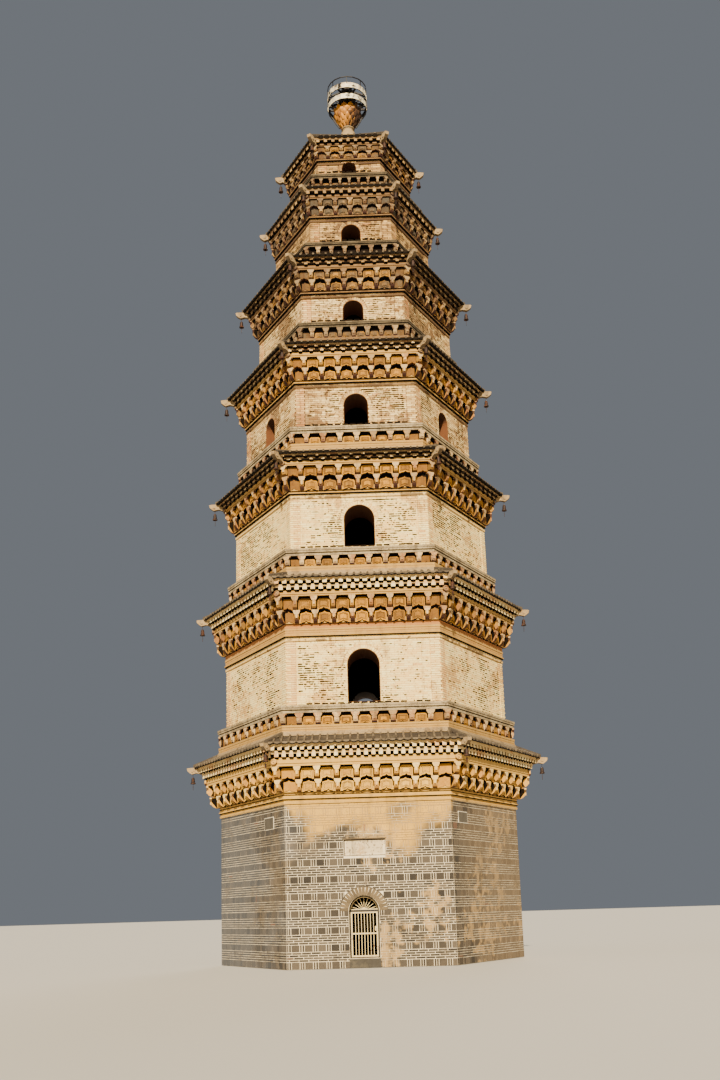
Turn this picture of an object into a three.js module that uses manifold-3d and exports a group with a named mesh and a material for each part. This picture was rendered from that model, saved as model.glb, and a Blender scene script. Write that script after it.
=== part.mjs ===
// A seven-storey hexagonal brick pagoda, in millimetres, +Z up, standing on Z = 0 with its axis on Z.
// Its front face looks along -Y. Two corners of each hexagon lie on the X axis.
// A radius always reaches a corner of the hexagon, and a height is always above the ground.

import * as THREE from 'three';
import { mergeVertices } from 'three/addons/utils/BufferGeometryUtils.js';
import Module from 'manifold-3d';

const wasm = await Module();
wasm.setup();

// Driving dimensions of the storeys, from the ground up.
const STOREYS = [
  { floor: 250, wall: 4750, thick: 1500, ledge: 4850, eave: 5660, edge: 6330, tileTop: 6690 },
  { floor: 7530, wall: 4510, thick: 1300, ledge: 9670, eave: 5300, edge: 11250, tileTop: 11570 },
  { floor: 12340, wall: 4120, thick: 1150, ledge: 14160, eave: 4840, edge: 15200, tileTop: 15490 },
  { floor: 16300, wall: 3710, thick: 1000, ledge: 17850, eave: 4400, edge: 18880, tileTop: 19150 },
  { floor: 19975, wall: 3220, thick: 900, ledge: 21050, eave: 3850, edge: 22030, tileTop: 22280 },
  { floor: 22945, wall: 2600, thick: 750, ledge: 24000, eave: 2980, edge: 24850, tileTop: 25060 },
  { floor: 25620, wall: 2050, thick: 600, ledge: 26345, eave: 2400, edge: 26985, tileTop: 28300 },
];
// Brackets under each eave: noses on a face, then the heights of the plain courses above the ledge, of the
// lower tier, of the upper tier and of the beam. The rafter ends fill the rest, up to the eave.
const TIERS = [
  { noses: 8, plain: 150, lower: 360, upper: 360, beam: 250 },
  { noses: 8, plain: 330, lower: 380, upper: 380, beam: 170 },
  { noses: 7, plain: 40, lower: 410, upper: 300, beam: 140 },
  { noses: 7, plain: 50, lower: 350, upper: 300, beam: 140 },
  { noses: 6, plain: 40, lower: 330, upper: 280, beam: 130 },
  { noses: 5, plain: 40, lower: 280, upper: 240, beam: 110 },
  { noses: 4, plain: 30, lower: 210, upper: 180, beam: 80 },
];
// The balcony that carries storeys 2 to 7: corner radius, slab thickness, and the height, number on a face
// and width of its brackets.
const BALCONIES = [
  { radius: 4850, slab: 220, bracket: 350, noses: 8, noseWidth: 150 },
  { radius: 4450, slab: 220, bracket: 320, noses: 8, noseWidth: 140 },
  { radius: 4070, slab: 210, bracket: 320, noses: 7, noseWidth: 130 },
  { radius: 3460, slab: 170, bracket: 300, noses: 7, noseWidth: 120 },
  { radius: 2960, slab: 130, bracket: 260, noses: 6, noseWidth: 110 },
  { radius: 2480, slab: 140, bracket: 230, noses: 7, noseWidth: 70 },
];
// Arched windows of storeys 2 to 7: width, and height of the crown.
const WINDOWS = [
  { width: 960, crown: 9220 },
  { width: 930, crown: 13740 },
  { width: 760, crown: 17450 },
  { width: 660, crown: 20775 },
  { width: 640, crown: 23715 },
  { width: 490, crown: 26260 },
];
const SIDE_WINDOW_STOREY = 4;
const SIDE_WINDOW_WIDTH = 680;
const WINDOW_SILL = 100;

const FOOT_RADIUS = 4800;
const DOOR = { centre: -190, width: 880, sill: 250, crown: 2030, setback: 300 };
const TABLET = {
  centre: -120, width: 1160, bottom: 3160, top: 3600, thick: 60, recess: 70, joint: 20, headroom: 100,
};

// Small constructional sizes shared by many pieces.
const SEAT = 0.3;
const LEDGE = { height: 60, proud: 80, lowerDrop: 180, lowerProud: 45 };
const EAVE_EDGE = { under: 60, over: 50, undercut: 130 };
const WALL_TOP_DROP = 160;
const WALL_FOOT_SPREAD = 25;
const HIP = { width: 150, height: 110, sunk: 40, setBack: 20 };
const HORN = { reach: 190, width: 120, root: 270, rootDrop: 220, waveRise: 55, waveDrop: 205, tipFoot: 95 };
const NOSE = { width: 130, sunk: 20, overlap: 10, blunt: 0.45, endSpace: 0.8 };
const SLAB = { lowerSetBack: 30, lowerShare: 0.45, bracketSetBack: 190, noseSetBack: 60 };
// How far the parts of one piece reach into each other, and how far a cutter reaches past its piece.
const WELD = 10;
const OVERRUN = 10;
const FRONT = -Math.PI / 2;
const FACE_STEP = Math.PI / 3;
const APOTHEM = Math.cos(FACE_STEP / 2);

// Solids and geometry

function solidOf(geometry) {
  const bare = geometry.clone();
  bare.deleteAttribute('normal');
  bare.deleteAttribute('uv');
  const merged = mergeVertices(bare, 0.001);
  return new wasm.Manifold(new wasm.Mesh({
    numProp: 3,
    vertProperties: Float32Array.from(merged.attributes.position.array),
    triVerts: Uint32Array.from(merged.index.array),
  }));
}

function geometryOf(solid) {
  const mesh = solid.getMesh();
  const geometry = new THREE.BufferGeometry();
  geometry.setAttribute('position', new THREE.BufferAttribute(mesh.vertProperties, 3));
  geometry.setIndex(new THREE.BufferAttribute(mesh.triVerts, 1));
  geometry.computeVertexNormals();
  return geometry;
}

// A profile of [radius, height] points turned about the tower's axis, listed upwards on its outer side.
function turned(profile, sides, firstCorner = 0) {
  const points = profile.map(([radius, height]) => new THREE.Vector2(radius, height));
  const start = firstCorner + Math.PI / 2 - 2 * Math.PI / sides;
  return new THREE.LatheGeometry(points, sides, start).rotateX(Math.PI / 2);
}

function hexagonal(profile) {
  return turned(profile, 6);
}

function block([x0, y0, z0], [x1, y1, z1]) {
  return new THREE.BoxGeometry(x1 - x0, y1 - y0, z1 - z0)
    .translate((x0 + x1) / 2, (y0 + y1) / 2, (z0 + z1) / 2);
}

// An upright outline of (across, height) points, extruded from y0 back to y1.
function upright(shape, y0, y1, curveSegments = 8) {
  return new THREE.ExtrudeGeometry(shape, { depth: y1 - y0, bevelEnabled: false, curveSegments })
    .rotateX(Math.PI / 2).translate(0, y1, 0);
}

// A bar in the plane through the axis at the given angle, drawn as (radius, height) points.
function radialBar(points, width, angle) {
  const shape = new THREE.Shape(points.map(([radius, height]) => new THREE.Vector2(radius, height)));
  return upright(shape, -width / 2, width / 2).rotateZ(angle);
}

function joined(geometries) {
  return geometries.map(solidOf).reduce((whole, piece) => whole.add(piece));
}

function archShape(centre, width, sill, crown) {
  const radius = width / 2;
  const spring = crown - radius;
  const shape = new THREE.Shape();
  shape.moveTo(centre - radius, sill);
  shape.lineTo(centre + radius, sill);
  shape.lineTo(centre + radius, spring);
  shape.absarc(centre, spring, radius, 0, Math.PI, false);
  return shape;
}

// The model

const pagoda = new THREE.Group();

function finish(color, roughness, metalness = 0) {
  return { color, roughness, metalness };
}

const FINISHES = {
  greyBrick: finish('#8a7761', 0.9),
  limewash: finish('#d9c7a4', 0.9),
  terracotta: finish('#c99a62', 0.85),
  roofTile: finish('#4c463f', 0.8),
  palePlaster: finish('#c9bda6', 0.85),
  paleStone: finish('#cfc8b8', 0.8),
  greyStone: finish('#8f8a80', 0.85),
  paintedSteel: finish('#cfc9b6', 0.5, 0.3),
  lotus: finish('#c8793a', 0.7),
  darkIron: finish('#2d2926', 0.6, 0.7),
};

function place(name, geometry, look) {
  const mesh = new THREE.Mesh(geometry, new THREE.MeshStandardMaterial(look));
  mesh.name = name;
  pagoda.add(mesh);
  return mesh;
}

// Heights and radii that follow from the driving dimensions

function wallTopOf(storey, index) {
  return index < STOREYS.length - 1 ? storey.tileTop - WALL_TOP_DROP : eaveUnderOf(storey);
}

function eaveUnderOf(storey) {
  return storey.edge - EAVE_EDGE.under;
}

function innerRadiusOf(storey) {
  return storey.wall - storey.thick / APOTHEM;
}

function balconyBaseRadius(balcony) {
  return balcony.radius - SLAB.lowerSetBack;
}

// Walls

function wallProfile(storey, index) {
  const bottom = index === 0 ? 0 : storey.floor + SEAT;
  const foot = index === 0 ? FOOT_RADIUS : storey.wall + WALL_FOOT_SPREAD;
  const top = wallTopOf(storey, index);
  const course = storey.ledge - LEDGE.lowerDrop;
  const inner = innerRadiusOf(storey);
  return [
    [inner, bottom],
    [foot, bottom],
    [storey.wall, course],
    [storey.wall + LEDGE.lowerProud, course],
    [storey.wall + LEDGE.lowerProud, course + LEDGE.height],
    [storey.wall, course + LEDGE.height],
    [storey.wall, top],
    [inner, top],
    [inner, bottom],
  ];
}

function faceWedge(face) {
  const reach = 2 * FOOT_RADIUS;
  const centre = FRONT + face * FACE_STEP;
  const shape = new THREE.Shape();
  shape.moveTo(0, 0);
  shape.lineTo(reach * Math.cos(FACE_STEP / 2), -reach * Math.sin(FACE_STEP / 2));
  shape.lineTo(reach * Math.cos(FACE_STEP / 2), reach * Math.sin(FACE_STEP / 2));
  return new THREE.ExtrudeGeometry(shape, { depth: FOOT_RADIUS * 2, bevelEnabled: false })
    .translate(SEAT, 0, -SEAT).rotateZ(centre);
}

function groundStoreyWalls() {
  const ring = solidOf(hexagonal(wallProfile(STOREYS[0], 0)));
  const names = ['front', 'right_front', 'right_back', 'back', 'left_back', 'left_front'];
  const faces = names.map((_, face) => ring.intersect(solidOf(faceWedge(face))));
  names.slice(1).forEach((name, i) => {
    place(`ground_wall_${name}`, geometryOf(faces[i + 1]), FINISHES.greyBrick);
  });

  const far = 2 * FOOT_RADIUS;
  const spring = DOOR.crown - DOOR.width / 2;
  const left = DOOR.centre - DOOR.width / 2;
  const right = DOOR.centre + DOOR.width / 2;
  const leftPier = faces[0].intersect(solidOf(block([-far, -far, -1], [left, 0, spring])));
  const rightPier = faces[0].intersect(solidOf(block([right, -far, -1], [far, 0, spring])));
  place('ground_wall_front_left_pier', geometryOf(leftPier), FINISHES.greyBrick);
  place('ground_wall_front_right_pier', geometryOf(rightPier), FINISHES.greyBrick);

  const overDoor = faces[0].intersect(solidOf(block([-far, -far, spring + SEAT], [far, 0, far])));
  const doorway = upright(archShape(DOOR.centre, DOOR.width, 0, DOOR.crown), -far, 0, 12);
  const recess = block(
    [TABLET.centre - TABLET.width / 2 - TABLET.joint, -far, TABLET.bottom - TABLET.joint],
    [TABLET.centre + TABLET.width / 2 + TABLET.joint, tabletBack() + SEAT, TABLET.top + TABLET.headroom],
  );
  place('ground_wall_front_over_door',
    geometryOf(overDoor.subtract(solidOf(doorway)).subtract(solidOf(recess))), FINISHES.greyBrick);
}

function tabletBack() {
  return -(STOREYS[0].wall * APOTHEM - TABLET.recess);
}

function stoneTablet() {
  place('stone_tablet', block(
    [TABLET.centre - TABLET.width / 2, tabletBack() - TABLET.thick, TABLET.bottom],
    [TABLET.centre + TABLET.width / 2, tabletBack(), TABLET.top],
  ), FINISHES.paleStone);
}

function upperWall(storey, index) {
  const window = WINDOWS[index - 1];
  const sill = storey.floor + WINDOW_SILL;
  const reach = 2 * storey.wall;
  const ring = solidOf(hexagonal(wallProfile(storey, index)));
  const facesWithWindow = index + 1 === SIDE_WINDOW_STOREY ? [0, 1, 2, 3, 4, 5] : [0, 3];
  const openings = facesWithWindow.map((face) => {
    const width = face % 3 === 0 ? window.width : SIDE_WINDOW_WIDTH;
    const shape = archShape(0, width, sill, window.crown);
    return upright(shape, -reach, -innerRadiusOf(storey) / 4, 6).rotateZ(face * FACE_STEP);
  });
  const wall = openings.map(solidOf).reduce((rest, opening) => rest.subtract(opening), ring);
  place(`storey_${index + 1}_wall`, geometryOf(wall), FINISHES.limewash);
}

// Cornices: the ledge, plain courses, two tiers of bracket noses on a set-back core, the beam, and two
// steps of rafter ends. OVERHANG gives each as a share of the way from the wall to the eave's corner.
const OVERHANG = {
  plain: 0.05, core: 0.12, lowerNose: 0.38, upperNose: 0.50, beam: 0.54,
  firstRafters: 0.62, lastRafters: 0.72,
};

function outTo(storey, share) {
  return storey.wall + share * (storey.eave - storey.wall);
}

// The cornice's steps from the ledge up, each with its corner radius, its foot and its top.
function corniceSteps(storey, index) {
  const tier = TIERS[index];
  const top = eaveUnderOf(storey) - SEAT;
  const tierFoot = storey.ledge + tier.plain;
  const beamFoot = tierFoot + tier.lower + tier.upper;
  const rafterFoot = beamFoot + tier.beam;
  const rafterStep = (rafterFoot + top) / 2;
  return [
    { radius: outTo(storey, OVERHANG.plain), foot: storey.ledge, top: tierFoot },
    { radius: outTo(storey, OVERHANG.core), foot: tierFoot, top: beamFoot },
    { radius: outTo(storey, OVERHANG.beam), foot: beamFoot, top: rafterFoot },
    { radius: outTo(storey, OVERHANG.firstRafters), foot: rafterFoot, top: rafterStep },
    { radius: outTo(storey, OVERHANG.lastRafters), foot: rafterStep, top },
  ];
}

// Bracket noses on every face and every corner. The outline is listed as [corner radius, height] points,
// and the pitch leaves a wider space at each end of the row, beside the corner's own nose.
function noses(outline, front, count, width) {
  const pitch = front / (count + NOSE.endSpace);
  const across = Array.from({ length: count }, (_, place) => (place - (count - 1) / 2) * pitch);
  return [0, 1, 2, 3, 4, 5].flatMap((side) => [
    radialBar(outline, width, side * FACE_STEP),
    ...across.map((offset) => radialBar(
      outline.map(([radius, height]) => [radius * APOTHEM, height]), width, 0,
    ).translate(0, offset, 0).rotateZ(FRONT + side * FACE_STEP)),
  ]);
}

function cornice(storey, index) {
  const bottom = storey.ledge - LEDGE.height;
  const inner = storey.wall + SEAT;
  const steps = corniceSteps(storey, index);
  const profile = [
    [inner, bottom],
    [storey.wall + LEDGE.proud, bottom],
    [storey.wall + LEDGE.proud, storey.ledge],
  ];
  for (const { radius, foot, top } of steps) {
    profile.push([radius, foot], [radius, top]);
  }
  profile.push([inner, steps.at(-1).top], [inner, bottom]);

  const { foot, top, radius } = steps[1];
  const middle = foot + TIERS[index].lower;
  const hidden = radius - NOSE.sunk;
  const lowerFront = outTo(storey, OVERHANG.lowerNose);
  const upperFront = outTo(storey, OVERHANG.upperNose);
  const outline = [
    [hidden, foot],
    [lowerFront, foot + NOSE.blunt * (middle - foot)],
    [lowerFront, middle],
    [upperFront, middle + NOSE.blunt * (top - middle)],
    [upperFront, top + NOSE.overlap],
    [hidden, top + NOSE.overlap],
  ];
  place(`storey_${index + 1}_cornice`, geometryOf(joined([
    hexagonal(profile),
    ...noses(outline, upperFront, TIERS[index].noses, NOSE.width),
  ])), FINISHES.terracotta);
}

// Balconies: a solid base on the wall below, a set-back band of brackets and a slab of two courses

function balcony(size, index) {
  const below = STOREYS[index];
  const bottom = wallTopOf(below, index) + SEAT;
  const top = STOREYS[index + 1].floor;
  const underSlab = top - size.slab;
  const bracketFoot = underSlab - size.bracket;
  const base = balconyBaseRadius(size);
  const core = size.radius - SLAB.bracketSetBack;
  const slabStep = underSlab + size.slab * SLAB.lowerShare;
  const profile = [
    [0, bottom],
    [base, bottom],
    [base, bracketFoot],
    [core, bracketFoot],
    [core, underSlab],
    [base, underSlab],
    [base, slabStep],
    [size.radius, slabStep],
    [size.radius, top],
    [0, top],
  ];
  const front = size.radius - SLAB.noseSetBack;
  const hidden = core - NOSE.sunk;
  const outline = [
    [hidden, bracketFoot + NOSE.overlap],
    [front, underSlab + NOSE.overlap],
    [hidden, underSlab + NOSE.overlap],
  ];
  place(`storey_${index + 2}_balcony`, geometryOf(joined([
    hexagonal(profile),
    ...noses(outline, front, size.noses, size.noseWidth),
  ])), FINISHES.terracotta);
}

// Roofs

// A bar along the hip on the +X corner, from the eave corner up to the roof's head.
function hipBar(storey, headRadius) {
  const edgeTop = storey.edge + EAVE_EDGE.over;
  const foot = storey.eave - HIP.setBack;
  const shape = new THREE.Shape();
  shape.moveTo(foot, edgeTop - HIP.sunk);
  shape.lineTo(foot, edgeTop + HIP.height);
  shape.lineTo(headRadius, storey.tileTop + HIP.height);
  shape.lineTo(headRadius, storey.tileTop - HIP.sunk);
  return upright(shape, -HIP.width / 2, HIP.width / 2);
}

// The end of the corner beam on the +X corner: it waves out from under the eave and turns up at its tip.
function horn(storey) {
  const { eave, edge } = storey;
  const root = eave - HORN.root;
  const tip = eave + HORN.reach;
  const shape = new THREE.Shape();
  shape.moveTo(root, edge - HORN.rootDrop);
  shape.lineTo((root + eave) / 2, edge - HORN.rootDrop + HORN.waveRise);
  shape.lineTo(eave, edge - HORN.waveDrop);
  shape.lineTo(tip, edge - HORN.tipFoot);
  shape.lineTo(tip, edge);
  shape.lineTo(root, edge - EAVE_EDGE.under + NOSE.overlap);
  return upright(shape, -HORN.width / 2, HORN.width / 2);
}

function sixCorners(build) {
  return [0, 1, 2, 3, 4, 5].map((corner) => build().rotateZ(corner * FACE_STEP));
}

function eaveProfile(storey) {
  return [
    [storey.eave - EAVE_EDGE.undercut, eaveUnderOf(storey)],
    [storey.eave, storey.edge + EAVE_EDGE.over],
  ];
}

function skirtRoof(storey, index) {
  const under = eaveUnderOf(storey);
  const head = balconyBaseRadius(BALCONIES[index]) + SEAT;
  const wallTop = wallTopOf(storey, index) + SEAT;
  const inner = storey.wall + SEAT;
  const profile = [
    [inner, under],
    ...eaveProfile(storey),
    [head, storey.tileTop],
    [head, wallTop],
    [inner, wallTop],
    [inner, under],
  ];
  const corners = joined([
    ...sixCorners(() => hipBar(storey, head + SEAT)),
    ...sixCorners(() => horn(storey)),
  ]).subtract(solidOf(hexagonal(clearOfCornice(storey, index))));
  place(`storey_${index + 1}_roof`, geometryOf(solidOf(hexagonal(profile)).add(corners)), FINISHES.roofTile);
}

// The cornice's own steps with a running gap round them, which the corner beams stay out of.
function clearOfCornice(storey, index) {
  const outline = corniceSteps(storey, index).flatMap(({ radius, foot, top }) => [
    [radius + SEAT, foot - SEAT],
    [radius + SEAT, top - SEAT],
  ]);
  return [[0, outline[0][1]], ...outline, [outline.at(-1)[0], eaveUnderOf(storey)], [0, eaveUnderOf(storey)]];
}

const PYRAMID_HEAD_RADIUS = 330;

function pyramidRoof(storey, index) {
  const under = eaveUnderOf(storey) + SEAT;
  const profile = [
    [0, under],
    [storey.eave - EAVE_EDGE.undercut, under],
    [storey.eave, storey.edge + EAVE_EDGE.over],
    [PYRAMID_HEAD_RADIUS, storey.tileTop],
    [0, storey.tileTop],
  ];
  const foot = PYRAMID_HEAD_RADIUS + 2 * HIP.setBack;
  const clearOfPedestal = hexagonal([
    [0, storey.tileTop],
    [foot, storey.tileTop],
    [foot, storey.tileTop + 2 * HIP.height],
    [0, storey.tileTop + 2 * HIP.height],
  ]);
  const corners = joined([
    ...sixCorners(() => hipBar(storey, PYRAMID_HEAD_RADIUS - HIP.setBack)),
    ...sixCorners(() => horn(storey)),
  ]).subtract(solidOf(hexagonal(clearOfCornice(storey, index)))).subtract(solidOf(clearOfPedestal));
  place(`storey_${index + 1}_roof`, geometryOf(solidOf(hexagonal(profile)).add(corners)), FINISHES.roofTile);
}

// Finial: a stone pedestal, a lotus bowl and an iron cage of two bands round a mast

const FINIAL = {
  pedestal: 28300, bowlFoot: 28770, bowlRim: 29450, lowerBand: 29480, upperBand: 29890, wireRing: 30270,
  bandRadius: 680, bandHeight: 180, bandThick: 30, hubRadius: 220, hubHeight: 70, bowlRadius: 500,
  bowlCrown: 20, mastRadius: 60, spoke: 50, rod: 20, wire: 24, strap: 40, reveal: 20, ringInset: 4,
};
// Outlines as [radius, height above the foot] points.
const PEDESTAL_OUTLINE = [[270, 200], [270, 330], [200, 400]];
const PEDESTAL = { block: 130, topRadius: 230 };
const BOWL_OUTLINE = [[200, 0], [270, 120], [370, 300], [450, 520]];
// The strap beside the bowl as [radius, height] points: up its outer side, then down its inner side.
const STRAP_OUTLINE = [
  [675, 29980], [700, 29980], [700, 29520], [600, 29330], [440, 29030], [300, 28820],
  [265, 28845], [402, 29045], [560, 29335], [655, 29520], [675, 29560],
];

function finialPedestal() {
  const foot = FINIAL.pedestal + SEAT;
  place('finial_pedestal', turned([
    [0, foot],
    [PYRAMID_HEAD_RADIUS, foot],
    [PYRAMID_HEAD_RADIUS, foot + PEDESTAL.block],
    ...PEDESTAL_OUTLINE.map(([radius, rise]) => [radius, foot + rise]),
    [PEDESTAL.topRadius, FINIAL.bowlFoot],
    [0, FINIAL.bowlFoot],
  ], 12), FINISHES.paleStone);
}

function finialBowl() {
  const foot = FINIAL.bowlFoot + SEAT;
  const rim = FINIAL.bowlRim;
  place('finial_lotus_bowl', turned([
    [0, foot],
    ...BOWL_OUTLINE.map(([radius, rise]) => [radius, foot + rise]),
    [FINIAL.bowlRadius, rim],
    [FINIAL.hubRadius, rim + FINIAL.bowlCrown],
    [0, rim + FINIAL.bowlCrown],
  ], 16), FINISHES.lotus);
}

function band(bottom) {
  const outer = FINIAL.bandRadius;
  const inner = outer - FINIAL.bandThick;
  return turned([
    [inner, bottom],
    [outer, bottom],
    [outer, bottom + FINIAL.bandHeight],
    [inner, bottom + FINIAL.bandHeight],
    [inner, bottom],
  ], 20);
}

function hub(bottom) {
  const top = bottom + FINIAL.hubHeight;
  return turned([[0, bottom], [FINIAL.hubRadius, bottom], [FINIAL.hubRadius, top], [0, top]], 8);
}

// A flat bar from the hub to the band.
function spoke(bottom, angle) {
  const start = FINIAL.hubRadius - FINIAL.reveal;
  const end = FINIAL.bandRadius - FINIAL.bandThick + WELD;
  const top = bottom + FINIAL.spoke;
  return radialBar([[start, bottom], [end, bottom], [end, top], [start, top]], FINIAL.spoke, angle);
}

// An upright rod from the upper band to the wire ring.
function rod(angle) {
  const outer = FINIAL.bandRadius + FINIAL.rod / 2 - FINIAL.ringInset;
  const inner = outer - FINIAL.rod;
  const bottom = FINIAL.upperBand + FINIAL.bandHeight - FINIAL.spoke;
  const top = FINIAL.wireRing + WELD;
  return radialBar([[inner, bottom], [outer, bottom], [outer, top], [inner, top]], FINIAL.rod, angle);
}

function wireRing() {
  const outer = FINIAL.bandRadius + FINIAL.wire / 2 - FINIAL.ringInset;
  const inner = outer - FINIAL.wire;
  const bottom = FINIAL.wireRing;
  const top = bottom + FINIAL.wire;
  return turned([[inner, bottom], [outer, bottom], [outer, top], [inner, top], [inner, bottom]], 20);
}

function finialCage() {
  const seat = FINIAL.bowlRim + FINIAL.bowlCrown + SEAT;
  const mastTop = FINIAL.upperBand + 2 * FINIAL.reveal;
  const bands = [FINIAL.lowerBand, FINIAL.upperBand];
  const spokes = bands.flatMap((bottom) => (
    [0, 1, 2, 3, 4, 5].map((place) => spoke(bottom + FINIAL.reveal, place * FACE_STEP))
  ));
  const straps = [0, Math.PI].map((angle) => radialBar(STRAP_OUTLINE, FINIAL.strap, angle));
  const rods = Array.from({ length: 8 }, (_, i) => rod(i * Math.PI / 4));
  const mast = turned([[0, seat], [FINIAL.mastRadius, seat], [FINIAL.mastRadius, mastTop], [0, mastTop]], 8);
  place('finial_cage', geometryOf(joined([
    ...bands.map(band), ...bands.map((bottom) => hub(bottom + WELD)), mast, wireRing(),
    ...spokes, ...straps, ...rods,
  ])), FINISHES.darkIron);
}

// Ground floor and doorway

function groundFloor() {
  const radius = innerRadiusOf(STOREYS[0]) - SEAT;
  place('ground_floor', hexagonal([[0, 0], [radius, 0], [radius, DOOR.sill], [0, DOOR.sill]]),
    FINISHES.greyStone);
}

const FRAME = { width: 45, depth: 60, rail: 30, transom: 50 };
const LEAF = { stile: 40, depth: 30, edgeGap: 12, bottomGap: 12, topGap: 6, bar: 16, bars: 7 };
const PIN = { radius: 11, socket: 11.8, reach: 20 };

// Places in the doorway, worked out from the door's driving dimensions.
const doorLeft = DOOR.centre - DOOR.width / 2;
const doorRight = DOOR.centre + DOOR.width / 2;
const doorSpring = DOOR.crown - DOOR.width / 2;
const frameFront = -(FOOT_RADIUS * APOTHEM) + DOOR.setback;
const frameMiddle = frameFront + FRAME.depth / 2;
const transomBottom = doorSpring - FRAME.transom / 2;
const hinge = { x: doorLeft + FRAME.width + LEAF.edgeGap + LEAF.stile / 2, y: frameMiddle };
const leafBottom = DOOR.sill + FRAME.rail + LEAF.bottomGap;
const leafTop = transomBottom - LEAF.topGap;

const THRESHOLD_SETBACK = 5;

function doorThreshold() {
  const outer = -(FOOT_RADIUS * APOTHEM);
  const inner = -((innerRadiusOf(STOREYS[0])) * APOTHEM + SEAT);
  place('door_threshold', block(
    [doorLeft + SEAT, outer + THRESHOLD_SETBACK, 0],
    [doorRight - SEAT, inner, DOOR.sill],
  ), FINISHES.greyStone);
}

function pin(radius, bottom, top) {
  return new THREE.CylinderGeometry(radius, radius, top - bottom, 12)
    .rotateX(Math.PI / 2).translate(hinge.x, hinge.y, (top + bottom) / 2);
}

function doorFrame() {
  const back = frameFront + FRAME.depth;
  const outline = archShape(DOOR.centre, DOOR.width - 2 * SEAT, DOOR.sill + SEAT, DOOR.crown - SEAT);
  const opening = archShape(DOOR.centre, DOOR.width - 2 * FRAME.width, DOOR.sill + FRAME.rail,
    DOOR.crown - FRAME.width);
  const ring = solidOf(upright(outline, frameFront, back, 12))
    .subtract(solidOf(upright(opening, frameFront - OVERRUN, back + OVERRUN, 12)));
  const transom = solidOf(block(
    [doorLeft + FRAME.width / 2, frameFront, transomBottom],
    [doorRight - FRAME.width / 2, back, transomBottom + FRAME.transom],
  ));
  const sockets = [
    pin(PIN.socket, leafBottom - LEAF.bottomGap - PIN.reach, leafBottom),
    pin(PIN.socket, leafTop, leafTop + LEAF.topGap + PIN.reach),
  ];
  const frame = sockets.map(solidOf).reduce((rest, socket) => rest.subtract(socket), ring.add(transom));
  place('door_frame', geometryOf(frame), FINISHES.paintedSteel);
}

function halfDisc(radius, y0, y1) {
  const shape = new THREE.Shape().absarc(DOOR.centre, doorSpring, radius, 0, Math.PI, false);
  return solidOf(upright(shape, y0, y1, 12));
}

const FANLIGHT = {
  clearance: 0.8, thick: 20, rim: 25, hubRadius: 90, bars: 9, barThick: 16, barWidth: 14,
};

// One bar of the fan, from the middle of the half circle to its rim.
function fanBar(place, radius) {
  const length = radius - WELD;
  return new THREE.BoxGeometry(length, FANLIGHT.barThick, FANLIGHT.barWidth)
    .translate(length / 2, 0, 0)
    .rotateY(-(place + 1) * Math.PI / (FANLIGHT.bars + 1))
    .translate(DOOR.centre, frameMiddle, doorSpring);
}

function fanlight() {
  const radius = DOOR.width / 2 - FRAME.width - FANLIGHT.clearance;
  const base = transomBottom + FRAME.transom + SEAT;
  const y0 = frameMiddle - FANLIGHT.thick / 2;
  const y1 = frameMiddle + FANLIGHT.thick / 2;
  const room = halfDisc(radius, y0, y1)
    .intersect(solidOf(block([doorLeft, y0 - OVERRUN, base], [doorRight, y1 + OVERRUN, DOOR.crown])));
  const rim = room.subtract(halfDisc(radius - FANLIGHT.rim, y0 - OVERRUN, y1 + OVERRUN));
  const foot = room.intersect(solidOf(block(
    [doorLeft, y0 - OVERRUN, base - OVERRUN],
    [doorRight, y1 + OVERRUN, base + FANLIGHT.rim],
  )));
  const hub = room.intersect(halfDisc(FANLIGHT.hubRadius, y0, y1));
  const bars = Array.from({ length: FANLIGHT.bars }, (_, place) => fanBar(place, radius));
  place('fanlight_grille', geometryOf(rim.add(foot).add(hub).add(joined(bars).intersect(room))),
    FINISHES.paintedSteel);
}

function doorLeaf() {
  const y0 = frameMiddle - LEAF.depth / 2;
  const y1 = frameMiddle + LEAF.depth / 2;
  const left = doorLeft + FRAME.width + LEAF.edgeGap;
  const right = doorRight - FRAME.width - LEAF.edgeGap;
  const clear = (right - left - 2 * LEAF.stile) / (LEAF.bars + 1);
  const bars = Array.from({ length: LEAF.bars }, (_, i) => {
    const x = left + LEAF.stile + (i + 1) * clear;
    return block([x - LEAF.bar / 2, frameMiddle - LEAF.bar / 2, leafBottom + WELD],
      [x + LEAF.bar / 2, frameMiddle + LEAF.bar / 2, leafTop - WELD]);
  });
  const rail = (bottom, height) => block([left + WELD, y0, bottom], [right - WELD, y1, bottom + height]);
  place('door_leaf', geometryOf(joined([
    block([left, y0, leafBottom], [left + LEAF.stile, y1, leafTop]),
    block([right - LEAF.stile, y0, leafBottom], [right, y1, leafTop]),
    rail(leafBottom, LEAF.stile),
    rail(leafTop - LEAF.stile, LEAF.stile),
    rail((leafBottom + leafTop) / 2, LEAF.stile),
    ...bars,
    pin(PIN.radius, leafBottom - LEAF.bottomGap - PIN.reach + SEAT, leafBottom + WELD),
    pin(PIN.radius, leafTop - WELD, leafTop + LEAF.topGap + PIN.reach - SEAT),
  ])), FINISHES.paintedSteel);
}

// Assembly, from the ground up

groundFloor();
groundStoreyWalls();
stoneTablet();
doorThreshold();
doorFrame();
fanlight();
doorLeaf();
STOREYS.forEach((storey, index) => {
  if (index > 0) {
    balcony(BALCONIES[index - 1], index - 1);
    upperWall(storey, index);
  }
  cornice(storey, index);
  if (index < STOREYS.length - 1) {
    skirtRoof(storey, index);
  } else {
    pyramidRoof(storey, index);
  }
});
finialPedestal();
finialBowl();
finialCage();

export default pagoda;
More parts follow.
